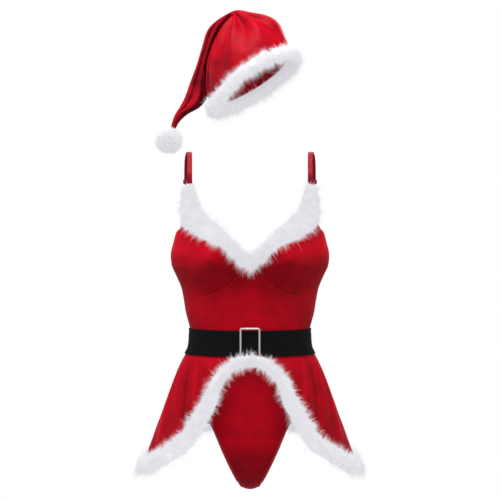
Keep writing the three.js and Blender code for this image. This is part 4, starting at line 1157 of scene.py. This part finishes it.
def hair_kinds(down, feathers, strands):
    """Three kinds of hair, with their counts. Reach is in shares of the fur's own, wide and root are in
    mm, and tuft is the hairs in one. Roots stray from the tuft's middle by root, tips are drawn back to
    it, and a tuft leans and a hair strays at random. Near an edge a hair lies outward, and it grows
    only where the share from the band's middle is past edge. Rings of points are at shares of it."""
    return [
        {"count": down, "reach": (0.35, 0.75), "wide": (0.85, 1.3), "tuft": 12, "root": 3.0, "lean": 0.3,
         "stray": 0.3, "drawn": 0.6, "outward": 0.5, "edge": 0.0, "rings": (0.0,)},
        {"count": feathers, "reach": (0.75, 1.3), "wide": (0.52, 0.8), "tuft": 14, "root": 3.5, "lean": 0.4,
         "stray": 0.3, "drawn": 0.7, "outward": 0.4, "edge": 0.0, "rings": (0.0, 0.5)},
        {"count": strands, "reach": (1.0, 1.9), "wide": (0.32, 0.5), "tuft": 6, "root": 2.2, "lean": 0.45,
         "stray": 0.3, "drawn": 0.4, "outward": 1.6, "edge": 0.65, "rings": (0.0, 0.5)}]


def fur(name, base, normals, sideways, backing, reach, kinds, node, seed):
    """Sow hairs in tufts on a grid of points. A tuft has a middle and a lean of its own. Roots stray
    from the middle, tips are drawn back to it, and hairs near an edge lie outward."""
    rng = np.random.default_rng(seed)
    points, faces, hairs = [backing[0]], [backing[1]], 0
    rows, cols = base.shape[:2]
    row_mm = np.linalg.norm(np.diff(base, axis=0), axis=-1).mean()
    col_mm = np.linalg.norm(np.diff(base, axis=1), axis=-1).mean()
    for kind in kinds:
        count, tufts = kind["count"], max(1, kind["count"] // kind["tuft"])
        own = rng.integers(tufts, size=count)
        tuft_r, tuft_c = rng.random(tufts)[own] * (rows - 1), rng.random(tufts)[own] * (cols - 1)
        lean = rng.normal(0, kind["lean"], (tufts, 3))[own]
        r = folded(tuft_r + rng.normal(0, kind["root"] / row_mm, count), rows)
        c = folded(tuft_c + rng.normal(0, kind["root"] / col_mm, count), cols)
        roots, side = sampled(base, r, c), sampled(sideways, r, c)
        middle = sampled(base, folded(tuft_r, rows), folded(tuft_c, cols))
        out = unit(sampled(normals, r, c) + side * kind["outward"] + lean
                   + (middle - roots) * kind["drawn"] / reach + rng.normal(0, kind["stray"], (count, 3)))
        lengths = reach * rng.uniform(*kind["reach"], count)
        droop = (rng.normal(0, DROOP, (count, 3)) - (0, 0, DROOP)) * lengths[:, None]
        widths = rng.uniform(*kind["wide"], count)
        grown = np.linalg.norm(side, axis=1) >= kind["edge"]
        spots, blocks = blades((roots - out * ROOT_DEEP)[grown], out[grown], lengths[grown] + ROOT_DEEP,
                               widths[grown], droop[grown], kind["rings"])
        faces += [block + sum(map(len, points)) for block in blocks]
        points.append(spots)
        hairs += grown.sum()
    make_piece(name, np.concatenate(points), faces, fur_hair, [node])
    print(name, "hairs", hairs, "triangles", sum(len(f) * (f.shape[1] - 2) for f in faces))


# %% [markdown]
# Each trim's backing is the flat roll of the cord and its shortest down, lower than the solid. The
# hairs stand on it. Most of them end near the solid's surface, and the longest reach past it.

# %% Neck fur
FUR_NECK_IN = [(0, -201), (12, -196), (28, -183), (43, -165), (58, -146), (70, -133), (82, -120),
               (92, -101), (100, -84), (107, -69)]
FUR_NECK_OUT = [(0, -236), (12, -229), (34, -213), (52, -197), (72, -187), (88, -180), (106, -168),
                (128, -153), (134, -140), (134, -116), (131, -90), (124, -70)]
ROLL_EDGE = 1.2
NECK_FUR = {"margin": 0.1, "lift": 1.3, "deep": 7, "reach": 12}
BESIDE_ARM = {"starts": 0.6, "over": 0.15, "less": 0.7}


def closed_roll(under, normals, share, deep):
    """Backing of a roll, half a round on a thin edge: the lifted grid and the grid under it, joined at
    the rims."""
    height = ROLL_EDGE + (deep - ROLL_EDGE) * np.sqrt(np.maximum(0, 1 - (2 * share - 1) ** 2))
    top = under + normals * height[..., None]
    return top, skin(np.stack([top, under]), wall_faces(*under.shape[:2]))


def outward_way(points, axis, share):
    """Unit way across a band, times the signed share from its middle: -1 at one edge, 1 at the other."""
    return unit(np.gradient(points, axis=axis)) * (2 * share - 1)[..., None]


def neck_fur():
    """One band from strap to strap: the share along it runs from -1 on one side to 1 on the other."""
    margin = NECK_FUR["margin"]
    along, wide_share = shares(*GRIDS["neck"])
    side = 2 * along - 1
    across = margin + (1 - 2 * margin) * wide_share
    flat = blend(walked(FUR_NECK_IN)(np.abs(side)), walked(FUR_NECK_OUT)(np.abs(side)), across)
    flat[..., 0] *= np.sign(side)
    under = front_point(flat)
    normals = grid_normals(under)
    top, backing = closed_roll(under + normals * NECK_FUR["lift"], normals, across, NECK_FUR["deep"])
    beside_arm = ease((np.abs(side) - BESIDE_ARM["starts"]) / BESIDE_ARM["over"]) * (across > 0.5)
    outward = outward_way(under, 1, wide_share) * (1 - BESIDE_ARM["less"] * beside_arm)[..., None]
    fur("neck_down", top, grid_normals(top), outward, backing, NECK_FUR["reach"],
        hair_kinds(16000, 5500, 6500), "neck_fur", seed=11)


neck_fur()

# %% [markdown]
# The hem fur follows the cut edge of the peplum: the grid runs along the hem, and across it at right
# angles on the unrolled cloth. At the front middle it stands forward to clear the belt and buckle.

# %% Hem fur
HEM_FUR = {"narrow": 9.5, "wide": 16, "widens": 0.06, "over": 0.2, "lift": 1.2, "deep": 5.5, "reach": 11}
HEM_SAG = {"low": 4, "share": 0.29, "wide": 0.1}
FUR_CLEAR = {"belt": 5.6, "buckle": 5.0, "buckle_half": 40, "above": 6}


def hem_fur(side_name, flip, seed):
    """Fur on one half of the hem, made on the right and turned over the middle plane for the left."""
    across, along = shares(*GRIDS["hem"])
    middle = hem_line(along)
    run = unit(np.gradient(middle[0], axis=0))
    run[0] = run[-1] = (1, 0)
    wider = ease((along - HEM_FUR["widens"]) / HEM_FUR["over"])
    half = HEM_FUR["narrow"] + (HEM_FUR["wide"] - HEM_FUR["narrow"]) * wider
    offset = (2 * across - 1) * half + HEM_SAG["low"] * bell(along, HEM_SAG["share"], HEM_SAG["wide"])
    angle = np.clip((middle[..., 0] + run[:, 1] * offset) / HEM_RADIUS, 0, math.pi)
    z = middle[..., 1] - run[:, 0] * offset
    under = peplum_point(angle, z)
    in_front = np.where(np.abs(under[..., 0]) < FUR_CLEAR["buckle_half"], FUR_CLEAR["buckle"], 0.0)
    on_belt = figure_point(angle, np.maximum(z, BELT_BOTTOM), FUR_CLEAR["belt"])[..., 1]
    clear = on_belt - in_front * np.cos(angle)
    over_belt = (z > BELT_BOTTOM - FUR_CLEAR["above"]) & (under[..., 1] > clear) & (angle < 1)
    under[..., 1] = np.where(over_belt, clear, under[..., 1])
    normals = grid_normals(under)
    top, (both, faces) = closed_roll(under + normals * HEM_FUR["lift"], normals, across, HEM_FUR["deep"])
    turned = faces if flip > 0 else faces[:, ::-1]
    base, ways, sideways, backing = (
        part * (flip, 1, 1) for part in (top, grid_normals(top), outward_way(under, 0, across), both))
    fur(f"hem_down_{side_name}", base, ways, sideways, (backing, turned), HEM_FUR["reach"],
        hair_kinds(16000, 5500, 7000), f"hem_fur_{side_name}", seed)


hem_fur("right", 1, 21)
hem_fur("left", -1, 22)

# %% [markdown]
# The brim is a fatter roll, a closed ring around the opening, with hairs all round its section. The
# pompom is a ball of the same down, without the long strands.

# %% Brim and pompom
BRIM = {"middle": (6, 0, 140.3), "radius": 99, "lean": math.radians(9), "thick": 7, "wide": 10, "reach": 10}
POMPOM = {"middle": (-162.4, 6, 24.8), "radius": 20, "pole": 0.999, "reach": 9}


def brim_grid():
    """Ring round the opening: the middle plus a spoke of the ring's radius and an ellipse section."""
    thick, wide = BRIM["thick"], BRIM["wide"]
    long = np.array([math.cos(HAT_RISE), 0, math.sin(HAT_RISE)])
    across = np.array([long[2], 0, -long[0]])
    deep = np.array([0, math.cos(BRIM["lean"]), 0]) + across * math.sin(BRIM["lean"])
    axis = np.cross(long, deep)
    around, turn = (share * 2 * math.pi for share in shares(*GRIDS["brim"]))
    spoke = long * np.cos(turn)[..., None] + deep * np.sin(turn)[..., None]
    points = (np.array(BRIM["middle"]) + spoke * (BRIM["radius"] + thick * np.cos(around))[..., None]
              + axis * (wide * np.sin(around) + brim_dip(turn))[..., None])
    normals = spoke * (np.cos(around) / thick)[..., None] + axis * (np.sin(around) / wide)[..., None]
    return points, unit(normals), axis * np.sin(around)[..., None]


def ball_grid():
    """Ball in rows of equal area: the polar turn is the arc cosine of the share, and both poles are
    left a little open."""
    polar, turn = shares(*GRIDS["pompom"])
    polar, turn = np.arccos(POMPOM["pole"] - 2 * POMPOM["pole"] * polar), turn * 2 * math.pi
    normals = np.stack([np.sin(polar) * np.cos(turn), np.sin(polar) * np.sin(turn), np.cos(polar)], axis=-1)
    return np.array(POMPOM["middle"]) + normals * POMPOM["radius"], normals


brim_points, brim_normals, brim_sideways = brim_grid()
open_ring = brim_points[:-1, :-1]
brim_backing = skin(open_ring, quads(*open_ring.shape[:2], rows_close=True, cols_close=True))
fur("hat_brim_down", brim_points, brim_normals, brim_sideways, brim_backing, BRIM["reach"],
    hair_kinds(17000, 5500, 6500), "hat_brim_fur", seed=31)

ball_points, ball_normals = ball_grid()
ball_backing = skin(ball_points, quads(*ball_points.shape[:2]))
fur("hat_pompom_down", ball_points, ball_normals, ball_points * 0, ball_backing, POMPOM["reach"],
    hair_kinds(13000, 6000, 0), "hat_pompom", seed=41)
